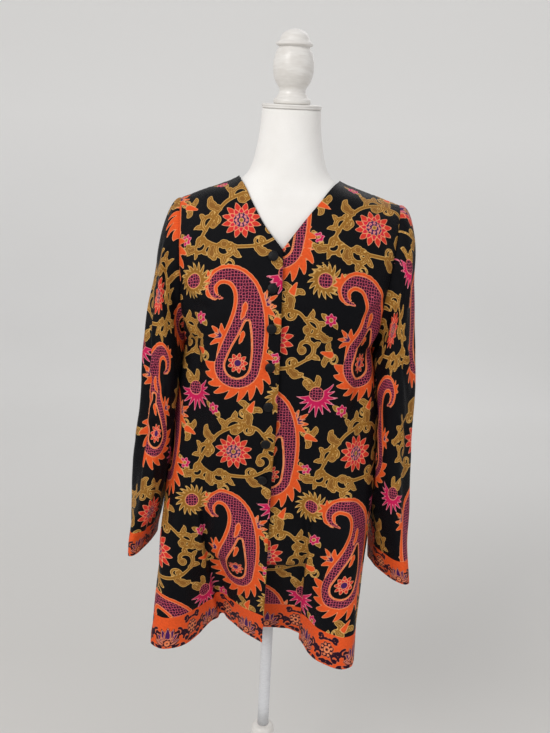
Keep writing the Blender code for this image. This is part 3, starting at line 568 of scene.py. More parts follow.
def soften(shifts, rounds):
    """Spreads shifts of a grid's points to their neighbours, a step further each round."""
    for _ in range(rounds):
        for axis in (0, 1):
            first = np.take(shifts, [0], axis=axis)
            last = np.take(shifts, [-1], axis=axis)
            padded = np.concatenate([first, shifts, last], axis=axis)
            before = np.delete(padded, [-2, -1], axis=axis)
            after = np.delete(padded, [0, 1], axis=axis)
            shifts = (before + 2 * shifts + after) / 4
    return shifts


def lift_softly(points, tree, clearance):
    """Lifts a piece off the form so that the cloth round each place it rests on follows it."""
    for rounds in (LIFT_ROUNDS, SECOND_LIFT_ROUNDS):
        points = points + soften(off_form(points, tree, clearance) - points, rounds)
    return off_form(points, tree, clearance)


# One edge of a grid: axis 0 has rows for its first and last edges, axis 1 has columns
Edge = namedtuple("Edge", "axis last")
TOP, BOTTOM, FIRST, LAST = Edge(0, False), Edge(0, True), Edge(1, False), Edge(1, True)

# A stretch of an edge, between two shares of its length, that is sewn to another
Seam = namedtuple("Seam", "name edge start end")
UNDERARM_SHARE = ARMHOLE_ROWS / (ARMHOLE_ROWS + BODY_ROWS + BORDER_ROWS)
SHOULDER_SHARE = SHOULDER_COLUMNS / (2 * SHOULDER_COLUMNS + BACK_NECK_COLUMNS)
SEAMS = (
    (Seam("front_right", TOP, 0, 1), Seam("back", TOP, SHOULDER_SHARE, 0)),
    (Seam("front_left", TOP, 0, 1), Seam("back", TOP, 1 - SHOULDER_SHARE, 1)),
    (Seam("front_right", LAST, UNDERARM_SHARE, 1), Seam("back", FIRST, UNDERARM_SHARE, 1)),
    (Seam("front_left", LAST, UNDERARM_SHARE, 1), Seam("back", LAST, UNDERARM_SHARE, 1)),
    (Seam("sleeve_right", FIRST, 0, 1), Seam("sleeve_right", LAST, 0, 1)),
    (Seam("sleeve_left", FIRST, 0, 1), Seam("sleeve_left", LAST, 0, 1)),
    (Seam("front_right", LAST, 0, UNDERARM_SHARE), Seam("sleeve_right", TOP, 0.5, 1)),
    (Seam("front_left", LAST, 0, UNDERARM_SHARE), Seam("sleeve_left", TOP, 0.5, 1)),
    (Seam("back", FIRST, 0, UNDERARM_SHARE), Seam("sleeve_right", TOP, 0.5, 0)),
    (Seam("back", LAST, 0, UNDERARM_SHARE), Seam("sleeve_left", TOP, 0.5, 0)),
)
SEWN = {
    "front_right": (TOP, LAST),
    "front_left": (TOP, LAST),
    "back": (FIRST, LAST),
    "sleeve_right": (TOP, FIRST, LAST),
    "sleeve_left": (TOP, FIRST, LAST),
}
FREE = {
    "front_right": (FIRST, BOTTOM),
    "front_left": (FIRST, BOTTOM),
    "back": (TOP, BOTTOM),
    "sleeve_right": (BOTTOM,),
    "sleeve_left": (BOTTOM,),
}
FACING = {"front_right": 1, "front_left": -1, "back": 1, "sleeve_right": -1, "sleeve_left": 1}


def edge_distance(points, edge):
    """How far each point is from one edge of its grid, along its row or column."""
    run = run_along(points, [0, 1, 2], edge.axis)
    if edge.last:
        run = np.take(run, [-1], axis=edge.axis) - run
    return run


def seam_relief(points, edge, seed):
    """The dip along a seam, with small uneven puckers beside it."""
    chance = np.random.default_rng(seed)
    distance = edge_distance(points, edge)
    along = run_along(points, [0, 1, 2], 1 - edge.axis)
    waves = np.zeros_like(along)
    for length in PUCKER_LENGTHS:
        waves += np.sin(2 * math.pi * along / length + chance.uniform(0, 2 * math.pi))
    puckers = PUCKER_HEIGHT * waves * np.exp(-((distance / PUCKER_WIDTH) ** 2))
    return puckers - SEAM_DIP * np.exp(-((distance / SEAM_DIP_WIDTH) ** 2))


def at_shares(line, shares):
    """Points at shares of a line's steps, from 0 to 1."""
    places = np.asarray(shares) * (len(line) - 1)
    low = np.clip(np.floor(places).astype(int), 0, len(line) - 2)
    part = (places - low)[:, None]
    return line[low] * (1 - part) + line[low + 1] * part


def draw_to(points, seam, line):
    """Moves a stretch of an edge onto a line. The cloth beside it follows, less and less."""
    place = -1 if seam.edge.last else 0
    steps = points.shape[1 - seam.edge.axis] - 1
    first, last = sorted((round(seam.start * steps), round(seam.end * steps)))
    shares = np.linspace(0, 1, last - first + 1)
    wanted = at_shares(line, shares if seam.start < seam.end else 1 - shares)
    fade = np.exp(-((edge_distance(points, seam.edge) / SEAM_FOLLOW) ** 2))
    if seam.edge.axis == 1:
        shift = wanted - points[first : last + 1, place]
        points[first : last + 1] += shift[:, None] * fade[first : last + 1, :, None]
    else:
        shift = wanted - points[place, first : last + 1]
        points[:, first : last + 1] += shift[None] * fade[:, first : last + 1, None]


def join_seam(pieces, sides):
    """Brings the two sides of a seam together, half-way between them."""
    lines = []
    for seam in sides:
        edge = np.take(pieces[seam.name], -1 if seam.edge.last else 0, axis=seam.edge.axis)
        lines.append(at_shares(edge, np.linspace(seam.start, seam.end, SEAM_STEPS)))
    for seam in sides:
        draw_to(pieces[seam.name], seam, sum(lines) / 2)


def turn_under(sheet, edge, depth):
    """Adds a narrow layer under one edge of a grid, as where cloth is folded back and sewn down."""
    inner = np.arange(TURN_LAYERS)
    if edge.last:
        inner = sheet.shape[edge.axis] - 1 - inner
    layer = np.take(sheet, inner, axis=edge.axis)
    layer[..., :3] -= layer[..., 3:6] * depth
    if edge.last:
        return np.concatenate([sheet, layer], axis=edge.axis)
    return np.concatenate([np.flip(layer, axis=edge.axis), sheet], axis=edge.axis)


def flat_cloth(grids):
    """Flat coordinates of the five pieces."""
    return {
        "front_right": flat_body(grids["front_right"], RIGHT),
        "front_left": flat_body(grids["front_left"], LEFT),
        "back": flat_across(grids["back"], [0, 1]),
        "sleeve_right": flat_across(grids["sleeve_right"], [0, 1, 2]),
        "sleeve_left": flat_across(grids["sleeve_left"], [0, 1, 2]),
    }


def surface_relief(name, grid, flat, seed):
    """Creases, ripples and seams of a piece, as a height over its smooth form."""
    relief = CREASE_STRENGTH * crease_relief(flat, CREASES[name]) + ripples(flat, seed)
    if name.startswith("front"):
        relief *= smooth_step((edge_distance(grid, FIRST) - CENTRE_CALM) / CENTRE_CALM)
    for number, edge in enumerate(SEWN[name]):
        relief += seam_relief(grid, edge, 10 * seed + number)
    return relief


def form_clearance(name, grid):
    """How far each point of a piece stays off the form. The lap leaves room for the front under it."""
    clearance = np.full(grid.shape[:2], FORM_CLEARANCE)
    if name == "front_right":
        over = 1 - smooth_step(np.linspace(0, 1, grid.shape[1]) / UNDERLAP_SHARE - 1)
        below_v = smooth_step((NECKLINE_RIGHT[2].z - grid[:, :, 2]) / V_FADE)
        clearance += UNDERLAP_CLEARANCE * over[None, :] * below_v
    return clearance


def clear_body(sleeve, body):
    """Pushes the hanging part of a sleeve off the body, where the two nearly touch."""
    shifts = off_form(sleeve, body, np.full(sleeve.shape[:2], SLEEVE_CLEARANCE)) - sleeve
    below = smooth_step((UNDERARM_Z - sleeve[..., 2]) / SLEEVE_FREE)
    below[np.linalg.norm(shifts, axis=-1) > SLEEVE_LIFT] = 0.0
    return sleeve + shifts * below[..., None]


def shape_cloth(tree):
    """Points of the five pieces as they hang, with creases and seams, and their flat coordinates."""
    grids = {
        "front_right": front_grid(RIGHT, NECKLINE_RIGHT, HEM_RIGHT),
        "front_left": front_grid(LEFT, NECKLINE_LEFT, HEM_LEFT),
        "back": back_grid(),
        "sleeve_right": sleeve_grid(RIGHT, SLEEVE_RIGHT, CUFF_Z_RIGHT),
        "sleeve_left": sleeve_grid(LEFT, SLEEVE_LEFT, CUFF_Z_LEFT),
    }
    flats = flat_cloth(grids)
    shaped = {}
    for seed, (name, grid) in enumerate(grids.items(), start=1):
        relief = surface_relief(name, grid, flats[name], seed)
        raised = lift_softly(grid, tree, form_clearance(name, grid))
        normals = cloth_normals(grid, FACING[name])
        shaped[name] = raised + normals * (SILK_OUT + relief)[..., None]
    for sides in SEAMS:
        join_seam(shaped, sides)
    body = body_tree([(shaped[name], FACING[name]) for name in ("front_right", "front_left", "back")])
    for name in ("sleeve_right", "sleeve_left"):
        shaped[name] = clear_body(shaped[name], body)
    return shaped, flats


def body_tree(pieces):
    """The surface of several pieces together, facing outwards."""
    vertices, faces = [], []
    for points, facing in pieces:
        start = len(vertices)
        vertices += points.reshape(-1, 3).tolist()
        faces += (grid_quads(*points.shape[:2], facing) + start).tolist()
    return BVHTree.FromPolygons(vertices, faces)


# Columns of a sheet: point, normal, flat coordinates, place in the border, then the inks
FLAT_COLUMNS = slice(6, 8)
FIRST_INK_COLUMN = 10


def cloth_sheet(name, points, flat, inks):
    """All that is known of each point of a piece, with its sewn and free edges turned under."""
    parts = [points, cloth_normals(points, FACING[name]), flat, to_hem(points)] + inks
    sheet = np.concatenate(parts, axis=-1)
    for edge in SEWN[name]:
        sheet = turn_under(sheet, edge, SEAM_TURN_DEPTH)
    for edge in FREE[name]:
        sheet = turn_under(sheet, edge, TURN_DEPTH)
    return sheet


def grid_quads(rows, columns, facing):
    """Quads over a grid of points, facing outwards."""
    here = (np.arange(rows - 1)[:, None] * columns + np.arange(columns - 1)[None, :]).reshape(-1)
    quads = np.stack([here, here + 1, here + columns + 1, here + columns], axis=1)
    return quads if facing > 0 else quads[:, ::-1]


def mesh_object(name, vertices, faces, material):
    """A smooth-shaded object of the given points and faces, in the shared frame."""
    mesh = bpy.data.meshes.new(name)
    mesh.from_pydata([tuple(vertex) for vertex in vertices], [], [tuple(face) for face in faces])
    mesh.materials.append(material)
    mesh.shade_smooth()
    made = bpy.data.objects.new(name, mesh)
    bpy.context.collection.objects.link(made)
    return made


# Inks of the print, in the order they are laid. Each part of a motif is in millimetres, x across
# and y down, about the motif's own middle. The rows of a path are x, y and half-width.
INKS = ("gold", "scale", "orange", "pink", "red", "bloom", "violet", "border", "scroll")
MM = 0.001
FAR = 0.020
PATH_STEP = 1.6
LEAST_STEPS = 6
SCALLOP_DIP = 0.45
LEAF_STEM = 0.6
LEAF_SWELL = 0.75
LEAF_ROUNDNESS = 0.8
LEAF_LOBING = 0.48
LOBE_SHARES = (0.06, 0.26, 0.46)
LOBE_LEAN = 38
LOBE_TURN = 70
CURL_WIDTH = 0.24
CURL_TURNS = 0.80
FLAME_TIP = 0.3
FLAME_TAPER = 0.7
SCROLL_POINTS = 26
SCROLL_CLOSING = 0.66
SCROLL_BUD = 0.14
FRINGE_FLAMES = 13
FRINGE_RADIUS = 38
RING_DOTS = 8
Stroke = namedtuple("Stroke", "ink path")
Bloom = namedtuple("Bloom", "ink x y tip notch petals turn twist")
Place = namedtuple("Place", "u v angle size mirror")


def smooth_path(*points):
    """Rows of a path a step apart on a smooth curve through a few of them."""
    points = np.asarray(points, float)
    slopes = np.gradient(points, axis=0)
    rows = []
    for k in range(len(points) - 1):
        length = np.linalg.norm(points[k + 1, :2] - points[k, :2])
        part = np.arange(0, 1, min(PATH_STEP / length, 1.0))[:, None]
        start, leave, end, arrive = curve_weights(part)
        row = start * points[k] + leave * slopes[k] + end * points[k + 1]
        rows.append(row + arrive * slopes[k + 1])
    return np.vstack(rows + [points[-1:]])


def widened(path, reach):
    return path + np.outer(reach, (0, 0, 1))


def scallops(path, reach, length):
    """A path widened by a row of scallops, smaller towards its ends."""
    steps = np.linalg.norm(np.diff(path[:, :2], axis=0), axis=1)
    run = np.concatenate([[0.0], np.cumsum(steps)])
    ends = np.minimum(1.0, np.minimum(run, run[-1] - run) / (4 * reach))
    waves = 1 - SCALLOP_DIP + SCALLOP_DIP * np.abs(np.sin(math.pi * run / length))
    return widened(path, reach * ends * waves)


def shares_of(length):
    return np.linspace(0, 1, max(int(length / PATH_STEP), LEAST_STEPS))


def walk(x, y, angles, length, half_widths):
    """A path from a point in equal steps, each at its own angle in degrees."""
    heading = np.radians(angles[:-1])
    columns = [half_widths]
    for start, turned in ((y, np.sin(heading)), (x, np.cos(heading))):
        run = np.concatenate([[0.0], np.cumsum(turned)])
        columns.insert(0, start + run * (length / len(heading)))
    return np.column_stack(columns)


def leaf(x, y, angle, length, half_width, turn, lobes=3):
    """A leaf with lobed edges that sets off at an angle and curls by a turn, both in degrees."""
    share = shares_of(length)
    shape = np.sin(math.pi * share**LEAF_SWELL) ** LEAF_ROUNDNESS
    lobed = 1 - LEAF_LOBING + LEAF_LOBING * np.abs(np.sin(lobes * math.pi * share))
    return walk(x, y, angle + turn * share**1.5, length, LEAF_STEM + half_width * shape * lobed)


def flame(x, y, angle, length, half_width, turn):
    """A tongue that is broad at its root and runs out to a point."""
    share = shares_of(length)
    half_widths = FLAME_TIP + half_width * (1 - share) ** FLAME_TAPER
    return walk(x, y, angle + turn * share, length, half_widths)


def scroll(x, y, angle, radius, hand, turns=1.1, half_width=2.2):
    """A tendril that sets off at an angle and rolls up into a bud, to the right for hand 1."""
    share = np.linspace(0, 1, SCROLL_POINTS)
    turn = math.radians(angle) - hand * math.pi / 2 + hand * share * turns * 2 * math.pi
    reach = radius * (1 - SCROLL_CLOSING * share)
    path_x = x - radius * math.cos(turn[0]) + reach * np.cos(turn)
    path_y = y - radius * math.sin(turn[0]) + reach * np.sin(turn)
    bud = 1 - 0.3 * share + 1.1 * smooth_step((share - (1 - SCROLL_BUD)) / SCROLL_BUD)
    return np.column_stack([path_x, path_y, half_width * bud])


def strokes(ink, path_of, rows, *style):
    """Strokes in one ink, along the path that each row gives."""
    return [Stroke(ink, path_of(*row, *style)) for row in rows]


def blooms(x, y, rows):
    """Rings about one middle. A row has an ink, tip and notch radii, petals and a turn."""
    return [Bloom(ink, x, y, tip, notch, petals, turn, 0) for ink, tip, notch, petals, turn in rows]


def disc(ink, x, y, radius):
    return Bloom(ink, x, y, radius, radius, 1, 0, 0)


def dot_ring(ink, x, y, ring, radius, first_turn):
    """Eight dots in a ring."""
    dots = []
    for k in range(RING_DOTS):
        turn = k * 2 * math.pi / RING_DOTS + first_turn
        dots.append(disc(ink, x + ring * math.cos(turn), y + ring * math.sin(turn), radius))
    return dots


def curl_leaf(x, y, angle, size, hand):
    """A leaf that rolls over into a curl, with rounded lobes down its outer side."""
    roll = scroll(x, y, angle, size, hand, CURL_TURNS, size * CURL_WIDTH)
    rows = []
    for share in LOBE_SHARES:
        place = int(share * (len(roll) - 1))
        ahead = roll[place + 1] - roll[place]
        heading = math.degrees(math.atan2(ahead[1], ahead[0])) - hand * LOBE_LEAN
        reach = size * (1.15 - 0.8 * share)
        rows.append((*roll[place, :2], heading, reach, size * CURL_WIDTH, -hand * LOBE_TURN, 1))
    return strokes("gold", leaf, rows) + [Stroke("gold", roll)]


def tuft(ink, x, y, angle, count, spread, length, half_width):
    """A fan of tongues from one root."""
    rows = []
    for k in range(count):
        lean = (k - (count - 1) / 2) / max(count - 1, 1) * spread
        reach = length * (1 - 0.25 * abs(lean) / spread - 0.08 * (k % 2))
        rows.append((x, y, angle + lean, reach, half_width, lean * 0.5))
    return strokes(ink, flame, rows)


def fringe():
    """Flames round the belly of a teardrop."""
    rows = []
    for share in np.arange(FRINGE_FLAMES) / (FRINGE_FLAMES - 1):
        turn = math.radians(-62 + 236 * share)
        x, y = 3 + FRINGE_RADIUS * math.cos(turn), 40 + FRINGE_RADIUS * math.sin(turn)
        reach = 15 + 8 * math.sin(math.pi * share)
        rows.append((x, y, math.degrees(turn) + 24, reach, 6.8, 30))
    return strokes("orange", flame, rows)


def paisley():
    """A curled teardrop of scales in an orange fringe, with a sprig laid inside its belly."""
    spine = smooth_path(
        (-22, -58, 1.5), (-36, -64, 3.5), (-40, -79, 5.5), (-26, -92, 7.5), (-4, -89, 10),
        (12, -71, 14), (18, -44, 19), (16, -14, 25), (9, 16, 31), (2, 42, 34),
    )
    belly = smooth_path((15, -22, 3), (12, 0, 9), (7, 22, 15), (2, 42, 18))
    parts = fringe()
    for row in (
        ("orange", 31, -46, -34, 5, 100, 32, 7.0),
        ("violet", 37, -50, -34, 4, 76, 19, 2.2),
        ("orange", -20, 0, 205, 4, 90, 28, 6.5),
        ("violet", -23, -1, 205, 3, 60, 16, 2.0),
        ("orange", -42, -84, 215, 3, 70, 20, 5.0),
    ):
        parts += tuft(*row)
    parts += [Stroke("orange", scallops(spine, 5.5, 8.5)), Stroke("scale", spine)]
    parts += [Stroke("orange", widened(belly, 2.6)), Stroke("ground", belly)]
    parts += strokes("orange", leaf, ((12, -52, 95, 26, 3.6, 25, 2), (10, -10, 100, 20, 3.4, 20, 2)))
    parts += blooms(3, 38, (("red", 16, 9.5, 9, 0), ("bloom", 10.5, 7, 9, 20)))
    return parts + [disc("violet", 3, 38, 5.5)]


def bud():
    """A gold sprig of two leaves and a tendril, with an orange bud."""
    parts = strokes("gold", leaf, ((0, 0, -35, 26, 6.5, -100, 2), (0, 0, 35, 24, 6.0, 100, 2)))
    parts.append(Stroke("gold", scroll(0, 0, 150, 9, 1, 1.0, 2.0)))
    return parts + [Stroke("orange", flame(2, 0, 0, 19, 5.5, 10))]


def blossom():
    """A small pink flower with a gold eye and two short leaves."""
    parts = strokes("gold", leaf, ((0, 0, 40, 19, 4.5, 30, 1), (0, 0, 200, 19, 4.5, 30, 1)))
    return parts + blooms(0, 0, (("pink", 11, 6.5, 6, 0),)) + [disc("gold", 0, 0, 3.4)]


def thistle():
    """A pink thistle: a fan of pointed florets over a round scaled base with two gold leaves."""
    parts = [Stroke("gold", smooth_path((0, 12, 2.6), (3, 26, 2.2), (12, 36, 1.4)))]
    parts += strokes("gold", leaf, ((1, 14, 150, 22, 5.5, -90, 2), (1, 14, 30, 22, 5.5, 90, 2)))
    return parts + tuft("pink", 0, 2, -90, 11, 170, 36, 4.2) + [disc("scale", 0, 4, 11)]


def sun_flower():
    """A gold flower with many curled narrow petals round a scaled disc."""
    return [Bloom("gold", 0, 0, 30, 15, 17, 0, 0.55), disc("gold", 0, 0, 17), disc("scale", 0, 0, 11.5)]


def red_flower():
    """A red flower with two rings of pointed petals and a violet heart of small dots."""
    rings = (("red", 29, 17, 12, 0), ("bloom", 20, 12, 12, 15), ("violet", 12, 10.5, 12, 0))
    return blooms(0, 0, rings) + dot_ring("pink", 0, 0, 7.6, 1.6, 0) + [disc("gold", 0, 0, 3.2)]


def vine():
    """Gold stems with curled and lobed leaves, wound about the place of a flower."""
    stems = (
        ((-74, 50, 2.0), (-60, 28, 2.6), (-46, 2, 2.8), (-24, -28, 2.8), (4, -43, 2.6)),
        ((4, -43, 2.6), (34, -40, 2.6), (54, -20, 2.4), (74, -10, 1.8)),
        ((-60, 28, 2.4), (-36, 42, 2.6), (-4, 45, 2.8), (28, 42, 2.6), (54, 28, 2.0)),
    )
    leaves = (
        (-68, 42, 150, 28, 6.6, 120), (-30, -18, 190, 33, 7.4, 130), (20, -43, -70, 30, 7.0, -110),
        (68, -11, 60, 24, 6.2, -120), (24, 43, 60, 28, 7.0, -110), (-38, 41, 120, 27, 6.6, -120),
    )
    curls = (
        (-54, 16, 215, 15, 1), (-14, -38, -95, 17, 1), (46, -30, -30, 16, 1),
        (52, 28, -20, 16, -1), (-8, 45, 85, 17, 1), (-70, 46, 60, 12, -1),
    )
    tendrils = (
        (-40, -8, 0, 9, 1), (30, -41, 60, 9, 1), (60, -15, 130, 8, -1),
        (36, 38, -80, 9, -1), (-24, 44, -70, 9, 1), (-66, 36, 250, 8, 1),
    )
    parts = strokes("gold", smooth_path, stems) + strokes("gold", leaf, leaves)
    for row in curls:
        parts += curl_leaf(*row)
    return parts + strokes("gold", scroll, tendrils)


def both_sides(rows):
    """Rows of a scroll and the same mirrored about x = 0."""
    pairs = []
    for x, y, angle, radius, hand in rows:
        pairs += [(x, y, angle, radius, hand), (-x, y, 180 - angle, radius, -hand)]
    return pairs


def lotus_border():
    """One length of the border, y up from the hem: a lotus, a rosette, and curls between them."""
    curls = both_sides((
        (-15, 12, 165, 9.0, -1), (-21, 33, 170, 7.5, 1), (-31, 14, 95, 8, 1),
        (-37, 40, 200, 6.5, -1), (-38, 25, 250, 6, 1), (-27, 4, 160, 6, 1),
    ))
    parts = strokes("scroll", scroll, curls, 0.8, 2.5)
    for angle, reach in ((12, 22), (168, 22), (38, 25), (142, 25), (65, 27), (115, 27), (90, 28)):
        parts.append(Stroke("scroll", leaf(0, 8, angle, reach + 2, 6.0, 0, 1)))
        parts.append(Stroke("violet", leaf(0, 9, angle, reach - 0.5, 4.2, 0, 1)))
    parts += blooms(0, 9, (("scroll", 8.5, 6.5, 7, 0),))
    parts += [disc("orange", 0, 9, 4.6), disc("scroll", 0, 9, 2.0)]
    parts += strokes("scroll", leaf, ((-8, 2, 180, 16, 2.6, -40, 2), (8, 2, 0, 16, 2.6, 40, 2)))
    parts += blooms(54, 26, (("scroll", 14.5, 11.5, 8, 0),))
    parts += dot_ring("orange", 54, 26, 9.4, 1.9, math.pi / RING_DOTS) + [disc("orange", 54, 26, 5.6)]
    parts += blooms(54, 26, (("scroll", 3.6, 2.6, 6, 0),))
    for side, lean in ((0, -40), (180, 40)):
        for y, length, half_width, lobes in ((44, 13, 2.4, 2), (7, 15, 2.8, 2), (4, 9, 2.0, 1)):
            parts.append(Stroke("scroll", leaf(54, y, side, length, half_width, lean, lobes)))
    return parts


MOTIFS = {
    "paisley": paisley(),
    "thistle": thistle(),
    "bud": bud(),
    "blossom": blossom(),
    "sun": sun_flower(),
    "flower": red_flower(),
    "vine": vine(),
    "border": lotus_border(),
}


def near_points(flat, low, high):
    """Numbers of the points of a flat piece that lie in a box grown by the farthest distance kept."""
    inside = np.all((flat > low - FAR) & (flat < high + FAR), axis=1)
    return np.flatnonzero(inside)


def stroke_distance(flat, path):
    """Distance of each point from a stroke's edge, negative inside it."""
    start, end = path[:-1], path[1:]
    chord = end[:, :2] - start[:, :2]
    size = np.maximum((chord**2).sum(axis=1), 1e-12)
    offset = flat[:, None, :] - start[None, :, :2]
    part = np.clip((offset * chord).sum(axis=2) / size, 0.0, 1.0)
    away = np.linalg.norm(offset - part[..., None] * chord, axis=2)
    width = start[:, 2] + part * (end[:, 2] - start[:, 2])
    return (away - width).min(axis=1)


def bloom_distance(flat, bloom):
    """Distance from the edge of a round flower, near enough for petals."""
    offset = flat - np.array([bloom.x, bloom.y])
    radius = np.linalg.norm(offset, axis=1)
    angle = np.degrees(np.arctan2(offset[:, 1], offset[:, 0])) - bloom.turn
    angle = angle + np.degrees(bloom.twist) * radius / max(bloom.tip, 1e-6)
    place = (angle * bloom.petals / 360) % 1.0
    middle = 1 - np.abs(2 * place - 1)
    edge = bloom.notch + (bloom.tip - bloom.notch) * middle**0.75
    slope = (bloom.tip - bloom.notch) * bloom.petals / math.pi / np.maximum(radius, bloom.notch)
    return (radius - edge) / np.sqrt(1 + slope**2)


def lay(fields, ink, near, distance):
    """Lays a shape in one ink over all the others. The ground's own colour takes them all off."""
    for other, field in fields.items():
        if other == ink:
            field[near] = np.minimum(field[near], distance)
        else:
            field[near] = np.maximum(field[near], -distance)


def placed(points, place):
    """Points of a motif, in millimetres, set down in a piece's flat coordinates."""
    angle = math.radians(place.angle)
    x = points[:, 0] * place.mirror
    y = points[:, 1]
    size = place.size * MM
    u = place.u + size * (x * math.cos(angle) - y * math.sin(angle))
    v = place.v + size * (x * math.sin(angle) + y * math.cos(angle))
    return np.column_stack([u, v])


def draw(fields, flat, motif, place):
    """Lays a motif's parts on a piece, in their order."""
    for part in motif:
        if isinstance(part, Stroke):
            spots = placed(part.path, place)
            path = np.column_stack([spots, part.path[:, 2] * place.size * MM])
            wide = path[:, 2:]
            near = near_points(flat, (spots - wide).min(axis=0), (spots + wide).max(axis=0))
            if len(near):
                lay(fields, part.ink, near, stroke_distance(flat[near], path))
        else:
            spot = placed(np.array([[part.x, part.y]]), place)[0]
            tip = part.tip * place.size * MM
            near = near_points(flat, spot - tip, spot + tip)
            if len(near):
                scaled = part._replace(
                    x=spot[0],
                    y=spot[1],
                    tip=tip,
                    notch=part.notch * place.size * MM,
                    turn=part.turn + place.angle,
                    twist=part.twist * place.mirror,
                )
                lay(fields, part.ink, near, bloom_distance(flat[near], scaled))


# The print repeats in a half-drop: each teardrop has garlands beside, above and below it
Part = namedtuple("Part", "motif x y angle size")
BORDER_DEPTH = 0.054
BORDER_LENGTH = 0.108
BORDER_START = 0.35
CUFF_BORDER = 0.82
TILE_WIDTH = 0.150
TILE_HEIGHT = 0.190
TEARDROP = (
    Part("sun", 76, 96, 0, 1.0),
    Part("bud", -56, 24, 190, 1.0),
    Part("bud", 60, -30, 20, 1.0),
    Part("blossom", -62, -34, 0, 1.0),
    Part("blossom", 62, 30, 20, 0.9),
    Part("paisley", 0, 0, 0, 1.07),
)
GARLAND = (
    Part("thistle", 74, 92, 160, 1.08),
    Part("bud", -24, 80, 100, 1.1),
    Part("blossom", -34, -74, 0, 1.0),
    Part("bud", 24, -70, -70, 1.0),
    Part("vine", 0, 0, 0, 1.06),
    Part("flower", 0, 2, 0, 1.12),
)
Lattice = namedtuple("Lattice", "first_u first_v columns rows mirror left_out")
LATTICES = {
    "front_right": Lattice(-0.080, 0.110, 4, 5, -1, ()),
    "front_left": Lattice(-0.012, 0.110, 4, 5, 1, ()),
    "back": Lattice(-0.300, 0.030, 5, 5, 1, ()),
    "sleeve_right": Lattice(-0.200, 0.000, 4, 5, -1, ("bud", "sun", "blossom")),
    "sleeve_left": Lattice(-0.130, 0.040, 4, 5, 1, ("bud", "sun", "blossom")),
}


def lattice_places(lattice):
    """Every motif of a piece, with its place in the piece's flat coordinates."""
    places = []
    for column in range(lattice.columns):
        for row in range(lattice.rows):
            u = lattice.first_u + column * TILE_WIDTH
            v = lattice.first_v + row * TILE_HEIGHT
            for part in TEARDROP if (column + row) % 2 == 0 else GARLAND:
                if part.motif in lattice.left_out:
                    continue
                x = u + part.x * MM * lattice.mirror
                y = v + part.y * MM
                angle = part.angle * lattice.mirror
                places.append((part.motif, Place(x, y, angle, part.size, lattice.mirror)))
    return places


Cut = namedtuple("Cut", "size area")


def ink_fields(name, flat, hem):
    """The distance of each point of a piece from each ink."""
    spots = flat.reshape(-1, 2)
    fields = {ink: np.full(len(spots), FAR) for ink in INKS}
    for motif, place in lattice_places(LATTICES[name]):
        draw(fields, spots, MOTIFS[motif], place)
    size = CUFF_BORDER if name.startswith("sleeve") else 1.0
    length = BORDER_LENGTH * size
    along = hem.reshape(-1, 2)
    lay(fields, "border", slice(None), along[:, 1] - BORDER_DEPTH * size)
    for k in range(int(along[:, 0].max() / length) + 1):
        draw(fields, along, MOTIFS["border"], Place(length * (k + BORDER_START), 0.0, 0.0, size, 1))
    return [fields[ink].reshape(flat.shape[:2] + (1,)) for ink in INKS]


def linear(code):
    """A colour from its six hexadecimal digits, as linear values with alpha."""
    shares = [int(code[k : k + 2], 16) / 255 for k in (0, 2, 4)]
    return tuple(c / 12.92 if c <= 0.04045 else ((c + 0.055) / 1.055) ** 2.4 for c in shares) + (1.0,)


class Graph:
    """Short calls that add nodes to one material and link them to its shader."""

    def __init__(self, name, **sockets):
        self.material = bpy.data.materials.new(name)
        self.material.use_nodes = True
        self.tree = self.material.node_tree
        self.shader = self.tree.nodes["Principled BSDF"]
        for socket, value in sockets.items():
            self.shader.inputs[socket.replace("_", " ")].default_value = value

    def node(self, kind, values=(), **settings):
        made = self.tree.nodes.new(kind)
        for setting, value in settings.items():
            setattr(made, setting, value)
        for socket, value in dict(values).items():
            if isinstance(value, bpy.types.NodeSocket):
                self.tree.links.new(value, made.inputs[socket])
            else:
                made.inputs[socket].default_value = value
        return made

    def attribute(self, name):
        return self.node("ShaderNodeAttribute", attribute_name=name, attribute_type="GEOMETRY")

    def position(self):
        return self.node("ShaderNodeTexCoord").outputs["Object"]

    def noise(self, vector, scale, detail):
        values = {"Vector": vector, "Scale": scale, "Detail": detail}
        return self.node("ShaderNodeTexNoise", values).outputs["Fac"]

    def math(self, operation, first, second=0.0):
        return self.node("ShaderNodeMath", {0: first, 1: second}, operation=operation).outputs[0]

    def span(self, value, start, end, low=0.0, high=1.0):
        """A value brought from one range to another, and held at its ends."""
        values = {"Value": value, "From Min": start, "From Max": end, "To Min": low, "To Max": high}
        return self.node("ShaderNodeMapRange", values).outputs["Result"]

    def mix(self, share, first, second):
        values = {0: share, 6: first, 7: second}
        return self.node("ShaderNodeMix", values, data_type="RGBA").outputs[2]

    def feed(self, socket, value):
        self.tree.links.new(value, self.shader.inputs[socket])

    def bump(self, height, distance, strength):
        values = {"Height": height, "Distance": distance, "Strength": strength}
        self.feed("Normal", self.node("ShaderNodeBump", values).outputs["Normal"])


# Most noise lies between these two values
NOISE_SPAN = (0.3, 0.7)

# Knit of the form's jersey: wales counted round it, and the height of a course
JERSEY_WALES = 420.0
JERSEY_COURSE = 0.0016
WALE_SHARE = 0.5
COURSE_SHARE = 0.3
JERSEY_FUZZ_SCALE = 900.0
JERSEY_CLOUD_SCALE = 14.0
JERSEY_RELIEF = 0.0003
GROOVE_SHADE = 0.30

BRUSH_STRETCH = (1.0, 1.0, 5.0)
PAINT_RELIEF = 0.0002

COVER_WEAVE_SCALE = 2600.0
COVER_WEAR_SCALE = 300.0
COVER_RELIEF = 0.0003


